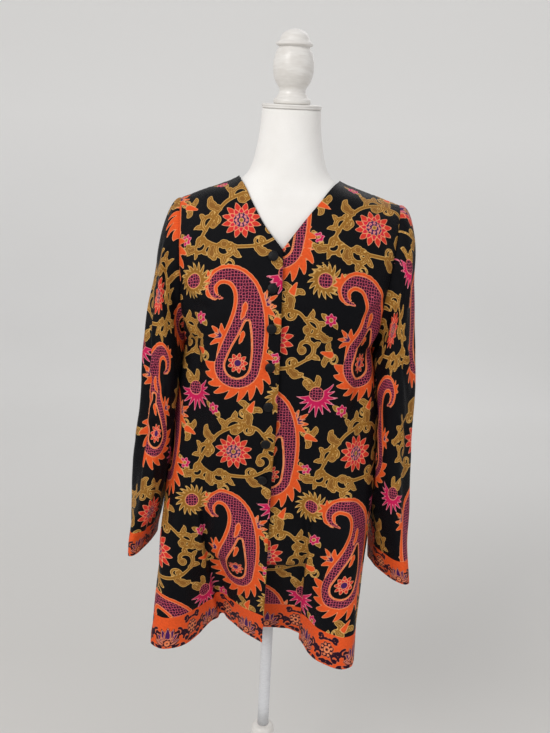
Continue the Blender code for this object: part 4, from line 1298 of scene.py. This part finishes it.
def jersey_material():
    """White knit jersey: fine wales with a soft irregular surface."""
    graph = Graph("white_jersey_knit", Roughness=0.86, Sheen_Weight=0.25, Sheen_Roughness=0.5)
    place = graph.position()
    axes = graph.node("ShaderNodeSeparateXYZ", {0: place}).outputs
    turn = graph.math("ARCTAN2", axes["X"], axes["Y"])
    wale = graph.math("SINE", graph.math("MULTIPLY", turn, JERSEY_WALES))
    course = graph.math("SINE", graph.math("MULTIPLY", axes["Z"], 2 * math.pi / JERSEY_COURSE))
    wale = graph.math("MULTIPLY", wale, WALE_SHARE)
    course = graph.math("MULTIPLY", course, COURSE_SHARE)
    fuzz = graph.noise(place, JERSEY_FUZZ_SCALE, 2.0)
    knit = graph.math("ADD", graph.math("ADD", wale, course), fuzz)
    cloud = graph.noise(place, JERSEY_CLOUD_SCALE, 3.0)
    shade = graph.mix(graph.span(cloud, *NOISE_SPAN), linear("F7F5F1"), linear("EEEBE6"))
    shade = graph.mix(graph.span(knit, -0.6, 0.6, GROOVE_SHADE, 0.0), shade, linear("CBC6BC"))
    graph.feed("Base Color", shade)
    graph.bump(knit, JERSEY_RELIEF, 0.5)
    return graph.material


def paint_material(name, first, second, roughness, speck):
    """Satin paint over turned wood or a metal tube, with faint brush marks."""
    graph = Graph(name, Roughness=roughness, Coat_Weight=0.10, Coat_Roughness=0.25)
    place = graph.position()
    stretched = graph.node("ShaderNodeMapping", {"Vector": place, "Scale": BRUSH_STRETCH})
    marks = graph.noise(stretched.outputs["Vector"], speck, 3.0)
    graph.feed("Base Color", graph.mix(graph.span(marks, 0.35, 0.65), linear(first), linear(second)))
    graph.feed("Roughness", graph.span(marks, *NOISE_SPAN, roughness - 0.05, roughness + 0.08))
    graph.bump(marks, PAINT_RELIEF, 0.35)
    return graph.material


def cover_material():
    """Black silk stretched over a button, with its weave and a few worn threads."""
    graph = Graph(
        "covered_button_silk",
        Roughness=0.45,
        Sheen_Weight=0.03,
        Sheen_Roughness=0.4,
        Specular_IOR_Level=0.22,
    )
    place = graph.position()
    weave = graph.node("ShaderNodeTexVoronoi", {"Vector": place, "Scale": COVER_WEAVE_SCALE})
    worn = graph.span(graph.noise(place, COVER_WEAR_SCALE, 2.0), 0.45, 0.75)
    graph.feed("Base Color", graph.mix(worn, linear("050507"), linear("0C0B10")))
    graph.bump(weave.outputs["Distance"], COVER_RELIEF, 0.4)
    return graph.material


# How each ink looks: its fill, its fine outline, and the outline's width
InkLook = namedtuple("InkLook", "fill outline line")
GROUND = "050508"
LOOKS = {
    "gold": InkLook("9C6B29", "CFA25C", 0.0009),
    "scale": InkLook("3A1029", "E2785A", 0.0008),
    "orange": InkLook("EA5A26", "EC9262", 0.0007),
    "pink": InkLook("CE1E58", "E88494", 0.0007),
    "red": InkLook("DA3A2C", "EE9A70", 0.0006),
    "bloom": InkLook("DC2A3C", "EE8E66", 0.0006),
    "violet": InkLook("4A1E5A", "D8866A", 0.0006),
    "border": InkLook("E85825", "E85825", 0.0005),
    "scroll": InkLook("2A1022", "C66A4C", 0.0005),
}
INK_EDGE = 0.00016
GOLD_VEIN_END = -0.0030
GOLD_VEIN = -0.0034
SCALE_SIZE = 0.0046
SCALE_LINE = 0.085
THREAD = 0.00042
MOTTLE_SCALE = 260.0
MOTTLE_SHARE = 0.18
GROUND_CLOUD_SCALE = 9.0
GRAIN_SCALE = 700.0
SILK_ROUGHNESS = (0.44, 0.60)
SILK_RELIEF = 0.00012


def silk_material():
    """Printed silk crepe: an almost black ground, crisp inks with fine outlines, and a soft sheen."""
    graph = Graph(
        "printed_silk_crepe",
        Roughness=0.55,
        Sheen_Weight=0.015,
        Sheen_Roughness=0.4,
        Specular_IOR_Level=0.085,
    )
    flat = graph.attribute("flat").outputs["Vector"]
    mottle = graph.span(graph.noise(flat, MOTTLE_SCALE, 3.0), *NOISE_SPAN, 0.0, MOTTLE_SHARE)
    cloud = graph.span(graph.noise(flat, GROUND_CLOUD_SCALE, 2.0), *NOISE_SPAN)
    shade = graph.mix(cloud, linear(GROUND), linear("08080D"))
    for ink in INKS:
        look = LOOKS[ink]
        field = graph.attribute("ink_" + ink).outputs["Fac"]
        fill = graph.mix(mottle, linear(look.fill), linear(GROUND))
        if ink == "gold":
            heart = graph.span(field, GOLD_VEIN - INK_EDGE, GOLD_VEIN + INK_EDGE, 1.0, 0.0)
            vein = graph.span(field, GOLD_VEIN_END - INK_EDGE, GOLD_VEIN_END + INK_EDGE, 1.0, 0.0)
            fill = graph.mix(vein, fill, linear(look.outline))
            fill = graph.mix(heart, fill, linear("8A5C26"))
        if ink == "scale":
            cells = graph.node(
                "ShaderNodeTexVoronoi",
                {"Vector": flat, "Scale": 1 / SCALE_SIZE, "Randomness": 0.4},
                feature="DISTANCE_TO_EDGE",
            ).outputs["Distance"]
            outside = graph.span(cells, SCALE_LINE * 0.6, SCALE_LINE * 1.4, 1.0, 0.0)
            fill = graph.mix(outside, fill, linear("C85468"))
        line = graph.span(field, -look.line - INK_EDGE, -look.line + INK_EDGE)
        inked = graph.mix(line, fill, linear(look.outline))
        shade = graph.mix(graph.span(field, -INK_EDGE, INK_EDGE, 1.0, 0.0), shade, inked)
    graph.feed("Base Color", shade)
    grain = graph.noise(flat, GRAIN_SCALE, 2.0)
    graph.feed("Roughness", graph.span(grain, *NOISE_SPAN, *SILK_ROUGHNESS))
    axes = graph.node("ShaderNodeSeparateXYZ", {0: flat}).outputs
    warp = graph.math("SINE", graph.math("MULTIPLY", axes["X"], 2 * math.pi / THREAD))
    weft = graph.math("SINE", graph.math("MULTIPLY", axes["Y"], 2 * math.pi / THREAD))
    weave = graph.math("ADD", graph.math("MULTIPLY", warp, weft), grain)
    graph.bump(weave, SILK_RELIEF, 0.5)
    return graph.material


# Rings of the dress form, as z, half-width, front, back and a tilt in degrees
FORM_FOOT_Z = 0.694
NECK_TOP_Z = 1.457
FORM_RINGS = (
    (FORM_FOOT_Z, 0.108, 0.078, 0.082, 0), (0.7, 0.127, 0.092, 0.096, 0),
    (0.724, 0.14, 0.101, 0.104, 0), (0.78, 0.149, 0.108, 0.11, 0), (0.85, 0.147, 0.107, 0.108, 0),
    (0.92, 0.13, 0.098, 0.094, 0), (0.985, 0.118, 0.092, 0.083, 0), (1.05, 0.125, 0.102, 0.084, 0),
    (1.115, 0.138, 0.115, 0.089, 0), (1.165, 0.144, 0.116, 0.094, 0),
    (1.215, 0.149, 0.109, 0.096, 0), (1.255, 0.157, 0.099, 0.092, 0),
    (1.285, 0.164, 0.088, 0.083, 0), (1.302, 0.163, 0.079, 0.076, 0),
    (1.316, 0.148, 0.073, 0.071, 0), (1.328, 0.115, 0.067, 0.067, 0.5),
    (1.341, 0.084, 0.062, 0.064, 1), (1.362, 0.064, 0.058, 0.06, 2.5),
    (1.395, 0.0545, 0.053, 0.054, 5), (1.43, 0.0495, 0.049, 0.049, 7),
    (NECK_TOP_Z, 0.0475, 0.047, 0.047, 8),
)
FORM_SQUARENESS = 2.3
NECK_ROUND_Z = 1.340
NECK_ROUND_LENGTH = 0.08
BUST_X = 0.074
BUST_Z = 1.122
BUST_RADIUS = 0.052
BUST_DEPTH = 0.014
BUST_SIDE_FADE = 0.5
FORM_SIDES = 128
FORM_STEPS = 7
FOOT_SHARES = (0.15, 0.5, 0.85, 0.96)
NECK_TILT = math.radians(8)
PIECE_GAP = 0.0003


def form_ring(row):
    """One ring of the dress form, from the front round by +X to the back and home."""
    z, half_width, front, back, tilt = smooth_curve(range(len(FORM_RINGS)), FORM_RINGS, row)[0]
    squareness = 2 + (FORM_SQUARENESS - 2) * smooth_step((NECK_ROUND_Z - z) / NECK_ROUND_LENGTH)
    angle = np.linspace(0, 2 * math.pi, FORM_SIDES, endpoint=False)
    across, along = np.sin(angle), np.cos(angle)
    x = half_width * np.sign(across) * np.abs(across) ** (2 / squareness)
    depth = np.where(along > 0, front, back)
    y = -depth * np.sign(along) * np.abs(along) ** (2 / squareness)
    bust = np.exp(-(((np.abs(x) - BUST_X) / BUST_RADIUS) ** 2) - ((z - BUST_Z) / BUST_RADIUS) ** 2)
    y = y - BUST_DEPTH * bust * smooth_step(along / BUST_SIDE_FADE)
    height = z + y * math.tan(math.radians(tilt))
    return np.stack([x, y, height], axis=1)


def form_rows():
    """The form's side, closed under the hips and on the neck by rings that run in to the middle."""
    rows = np.linspace(0, len(FORM_RINGS) - 1, (len(FORM_RINGS) - 1) * FORM_STEPS + 1)
    rings = [form_ring(row) for row in rows]
    foot, top = rings[0], rings[-1]
    under = [foot.mean(axis=0) + (foot - foot.mean(axis=0)) * share for share in FOOT_SHARES]
    over = [top.mean(axis=0) + (top - top.mean(axis=0)) * share for share in reversed(FOOT_SHARES)]
    return under + rings + over


def ring_faces(count, sides):
    """Faces over a stack of rings, with a flat end at each end of the stack."""
    faces = [list(range(sides))[::-1]]
    for i in range(count - 1):
        for k in range(sides):
            after = (k + 1) % sides
            here, above = i * sides, (i + 1) * sides
            faces.append([here + k, here + after, above + after, above + k])
    faces.append(list(range((count - 1) * sides, count * sides)))
    return faces


form_points = form_rows()
form_vertices = np.concatenate(form_points)
form_faces = ring_faces(len(form_points), FORM_SIDES)
form_tree = BVHTree.FromPolygons(form_vertices.tolist(), form_faces)


# Turned pieces, as radius and height from each piece's own foot
CAP_PROFILE = (
    (0.0462, 0), (0.0478, 0.0004), (0.0486, 0.0014), (0.0487, 0.0028), (0.048, 0.0034),
    (0.0487, 0.004), (0.0486, 0.0056), (0.0479, 0.0067), (0.0464, 0.0071),
)
FINIAL_PROFILE = (
    (0.029, 0), (0.03, 0.001), (0.0302, 0.004), (0.0298, 0.0072), (0.028, 0.0084),
    (0.0258, 0.0092), (0.025, 0.011), (0.0232, 0.014), (0.0214, 0.018), (0.0212, 0.021),
    (0.0226, 0.025), (0.0258, 0.0295), (0.0288, 0.0345), (0.031, 0.0405), (0.0323, 0.048),
    (0.0326, 0.055), (0.0321, 0.063), (0.0307, 0.07), (0.0288, 0.076), (0.0266, 0.0808),
    (0.0246, 0.083), (0.0243, 0.0846), (0.0272, 0.0856), (0.029, 0.0866), (0.0294, 0.0886),
    (0.0284, 0.0906), (0.025, 0.0924), (0.0234, 0.0948), (0.0222, 0.0985), (0.0196, 0.1028),
    (0.015, 0.1067), (0.008, 0.1095), (0.0015, 0.1104),
)
COLUMN_PROFILE = (
    (0.029, 0), (0.0302, 0.0012), (0.0304, 0.005), (0.0302, 0.0095), (0.0288, 0.0122),
    (0.0262, 0.015), (0.0242, 0.0195), (0.0232, 0.028), (0.0226, 0.04), (0.0224, 0.12),
    (0.0225, 0.2), (0.0226, 0.25), (0.0224, 0.258), (0.0216, 0.264), (0.02, 0.2685),
    (0.0174, 0.2714), (0.0145, 0.273), (0.0118, 0.274),
)
BASE_PROFILE = (
    (0.16, 0), (0.164, 0.0014), (0.1655, 0.005), (0.1656, 0.011), (0.164, 0.016), (0.16, 0.0192),
    (0.152, 0.0214), (0.14, 0.0229), (0.09, 0.0244), (0.045, 0.0255), (0.033, 0.0257),
)
POLE_RADIUS = 0.0110
COLUMN_FOOT_Z = 0.0260
POLE_FOOT_Z = 0.3003
TURNED_SIDES = 96
BASE_SIDES = 192
POLE_RINGS = 9
END_SHARES = (0.15, 0.6, 0.97)

BUTTON_RADIUS = 0.0078
BUTTON_RINGS = 16
BUTTON_BACK = ((0.0052, 0.0015), (0.0068, 0.0018), (0.0075, 0.0023))
DOME_FOOT = 0.0028
DOME_RISE = 0.0022
DOME_FULLNESS = 0.8
DOME_TOP_RADIUS = 0.0001
BUTTON_SIDES = 40
SHANK_RADIUS = 0.0030


def turned_mesh(name, profile, material, sides=TURNED_SIDES, place=None):
    """A piece turned on a lathe, with flat ends."""
    rows = np.asarray(profile, float)
    foot = [(rows[0, 0] * share, rows[0, 1]) for share in END_SHARES]
    top = [(rows[-1, 0] * share, rows[-1, 1]) for share in reversed(END_SHARES)]
    rows = np.vstack([foot, rows, top])
    angle = np.linspace(0, 2 * math.pi, sides, endpoint=False)
    x = rows[:, :1] * np.cos(angle)
    y = rows[:, :1] * np.sin(angle)
    z = np.broadcast_to(rows[:, 1:], x.shape)
    vertices = np.stack([x, y, z], axis=-1).reshape(-1, 3)
    if place is not None:
        vertices = [place @ Vector(vertex) for vertex in vertices]
    return mesh_object(name, vertices, ring_faces(len(rows), sides), material)


def up(height):
    return Matrix.Translation((0.0, 0.0, height))


def stand_for(piece, node):
    """Says that a piece takes a solid's place and rides with the whole stand."""
    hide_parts(node)
    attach(piece, "root")


def node_points(node):
    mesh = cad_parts[node].data
    flat = np.empty(len(mesh.vertices) * 3)
    mesh.vertices.foreach_get("co", flat)
    return flat.reshape(-1, 3)


def button_place(node):
    """A button's own place: its foot, its way out from the cloth, and a way across."""
    points = node_points(node)
    _, axes = np.linalg.eigh(np.cov(points.T))
    outward = axes[:, 0] * (1 if axes[1, 0] < 0 else -1)
    depth = (points - points.mean(axis=0)) @ outward
    middle = points.mean(axis=0) - outward * (points.mean(axis=0) - points[np.argmin(depth)]) @ outward
    turn = Vector(outward).to_track_quat("Z", "Y").to_matrix().to_4x4()
    return Matrix.Translation(middle) @ turn


def button_profile():
    """A domed button on a short shank, its edge rounded over the metal shell inside."""
    rows = [(SHANK_RADIUS, 0.0), (SHANK_RADIUS * 0.9, 0.0007), (SHANK_RADIUS, 0.0013)]
    rows += BUTTON_BACK
    for turn in np.linspace(0, math.pi / 2, BUTTON_RINGS):
        radius = BUTTON_RADIUS * math.cos(turn) ** DOME_FULLNESS + DOME_TOP_RADIUS
        rows.append((radius, DOME_FOOT + DOME_RISE * math.sin(turn)))
    return rows


def bent_sheet(profile, half_length, name, material):
    """A wide sheet swept along X from a bent line of points, for the floor and wall behind."""
    vertices = []
    for y, z in profile:
        vertices += [(-half_length, y, z), (half_length, y, z)]
    faces = []
    for k in range(len(profile) - 1):
        faces.append((2 * k, 2 * k + 1, 2 * k + 3, 2 * k + 2))
    return mesh_object(name, vertices, faces, material)


def backdrop_profile():
    """Floor, a curve up and the wall, as y and z."""
    rows = [(-STAGE_FRONT, 0.0), (STAGE_WALL_Y - STAGE_BEND, 0.0)]
    for turn in np.linspace(0, math.pi / 2, STAGE_STEPS)[1:]:
        y = STAGE_WALL_Y - STAGE_BEND + STAGE_BEND * math.sin(turn)
        rows.append((y, STAGE_BEND - STAGE_BEND * math.cos(turn)))
    rows.append((STAGE_WALL_Y, STAGE_HEIGHT))
    return rows


def add_light(name, location, target, size, power, color):
    light = bpy.data.lights.new(name, "AREA")
    light.shape = "DISK"
    light.size = size
    light.energy = power
    light.color = color
    made = bpy.data.objects.new(name, light)
    made.location = location
    made.rotation_euler = (Vector(target) - Vector(location)).to_track_quat("-Z", "Y").to_euler()
    bpy.context.collection.objects.link(made)


STAGE_STEPS = 24
STAGE_FRONT = 7.0
STAGE_WALL_Y = 5.5
STAGE_BEND = 2.8
STAGE_HEIGHT = 7.0
STAGE_HALF = 9.0
WALL_CLOUD_SCALE = 0.8
# Spans in y and z of the backdrop's painted light and shade: painted shade darkens the floor near the
# stand, and painted light brightens the wall as it rises
FLOOR_PAINTED_SHADE_SPAN = (0.6, 3.2)
WALL_PAINTED_LIGHT_SPAN = (0.3, 2.0)
CAMERA_PLACE = (-0.008, -1.2, 1.305)
CAMERA_PITCH = math.radians(77)
CAMERA_ROLL = math.radians(2.6)
CAMERA_LENS = 34.38

def keep_points(piece, name, kind, key, values):
    """Keeps a value for each point of a piece, which its material reads by name."""
    attribute = piece.data.attributes.new(name, kind, "POINT")
    attribute.data.foreach_set(key, np.ascontiguousarray(values).reshape(-1))


# Cloth
silk = silk_material()
shaped, flats = shape_cloth(form_tree)
for name, points in shaped.items():
    inks = ink_fields(name, flats[name], to_hem(points))
    sheet = cloth_sheet(name, points, flats[name], inks)
    quads = grid_quads(*sheet.shape[:2], FACING[name])
    values = sheet.reshape(-1, sheet.shape[-1])
    piece = mesh_object(name + "_silk", values[:, :3], quads, silk)
    flat_values = np.column_stack([values[:, FLAT_COLUMNS], np.zeros(len(values))])
    keep_points(piece, "flat", "FLOAT_VECTOR", "vector", flat_values)
    for number, ink in enumerate(INKS, start=FIRST_INK_COLUMN):
        keep_points(piece, "ink_" + ink, "FLOAT", "value", values[:, number])
    stand_for(piece, name)

# Form
jersey = jersey_material()
paint = paint_material("white_satin_wood", "E2DFDA", "D6D2CC", 0.36, 40.0)
metal = paint_material("white_coated_metal", "D8D9DB", "CDCED0", 0.30, 90.0)
cover = cover_material()
torso = mesh_object("torso_jersey", form_vertices, form_faces, jersey)
stand_for(torso, "form_torso")

neck_top = up(NECK_TOP_Z) @ Matrix.Rotation(NECK_TILT, 4, "X")
cap = turned_mesh("neck_cap_turned", CAP_PROFILE, paint, place=neck_top @ up(PIECE_GAP))
stand_for(cap, "neck_cap")
finial_foot = CAP_PROFILE[-1][1] + 2 * PIECE_GAP
finial = turned_mesh("finial_turned", FINIAL_PROFILE, paint, place=neck_top @ up(finial_foot))
stand_for(finial, "finial")

base = turned_mesh("stand_base_turned", BASE_PROFILE, paint, sides=BASE_SIDES)
stand_for(base, "stand_base")
column = turned_mesh("stand_column_turned", COLUMN_PROFILE, paint, place=up(COLUMN_FOOT_Z))
stand_for(column, "stand_column")
pole_length = FORM_FOOT_Z - PIECE_GAP - POLE_FOOT_Z
pole_profile = [(POLE_RADIUS, pole_length * share) for share in np.linspace(0, 1, POLE_RINGS)]
pole = turned_mesh("pole_tube", pole_profile, metal, place=up(POLE_FOOT_Z))
stand_for(pole, "pole")

for number in range(1, 8):
    node = f"button_{number}"
    button = turned_mesh(node + "_covered", button_profile(), cover, BUTTON_SIDES, button_place(node))
    stand_for(button, node)

# Backdrop, light and camera
wall_graph = Graph("pale_backdrop", Roughness=0.95)
wall_place = wall_graph.position()
wall_noise = wall_graph.noise(wall_place, WALL_CLOUD_SCALE, 2.0)
wall_shade = wall_graph.span(wall_noise, *NOISE_SPAN)
wall_axes = wall_graph.node("ShaderNodeSeparateXYZ", {0: wall_place}).outputs
wall_color = wall_graph.mix(wall_shade, linear("EAE9E7"), linear("E6E5E2"))
# Painted shade: the floor near the stand is painted darker, fading to the wall's colour further back
floor_painted_shade = wall_graph.span(wall_axes["Y"], *FLOOR_PAINTED_SHADE_SPAN)
wall_color = wall_graph.mix(floor_painted_shade, linear("CFCDC9"), wall_color)
# Painted light: the wall is painted lighter the higher it rises
wall_painted_light = wall_graph.span(wall_axes["Z"], *WALL_PAINTED_LIGHT_SPAN)
wall_graph.feed("Base Color", wall_graph.mix(wall_painted_light, wall_color, linear("FAF9F6")))
backdrop = bent_sheet(backdrop_profile(), STAGE_HALF, "backdrop", wall_graph.material)

world = bpy.data.worlds.new("studio")
bpy.context.scene.world = world
world.use_nodes = True
background = world.node_tree.nodes["Background"].inputs
background["Color"].default_value = (0.98, 0.98, 1.0, 1.0)
background["Strength"].default_value = 0.68
# Each light's name, place, target, size, power and colour
for light in (
    ("key", (-1.6, -2.2, 2.6), (0.0, 0.0, 1.0), 1.3, 42.0, (1.0, 0.99, 0.97)),
    ("fill", (2.0, -1.8, 1.4), (0.0, 0.0, 1.0), 2.0, 8.0, (0.97, 0.98, 1.0)),
    ("back", (1.0, 2.6, 3.2), (0.0, 0.0, 1.0), 2.4, 14.0, (1.0, 1.0, 1.0)),
):
    add_light(*light)

camera = bpy.data.objects.new("camera", bpy.data.cameras.new("camera"))
camera.data.lens = CAMERA_LENS
camera.data.clip_start = 0.01
camera_turn = Matrix.Rotation(CAMERA_PITCH, 4, "X") @ Matrix.Rotation(CAMERA_ROLL, 4, "Z")
camera.matrix_world = Matrix.Translation(CAMERA_PLACE) @ camera_turn
bpy.context.collection.objects.link(camera)
bpy.context.scene.camera = camera
bpy.context.scene.view_settings.view_transform = "Standard"
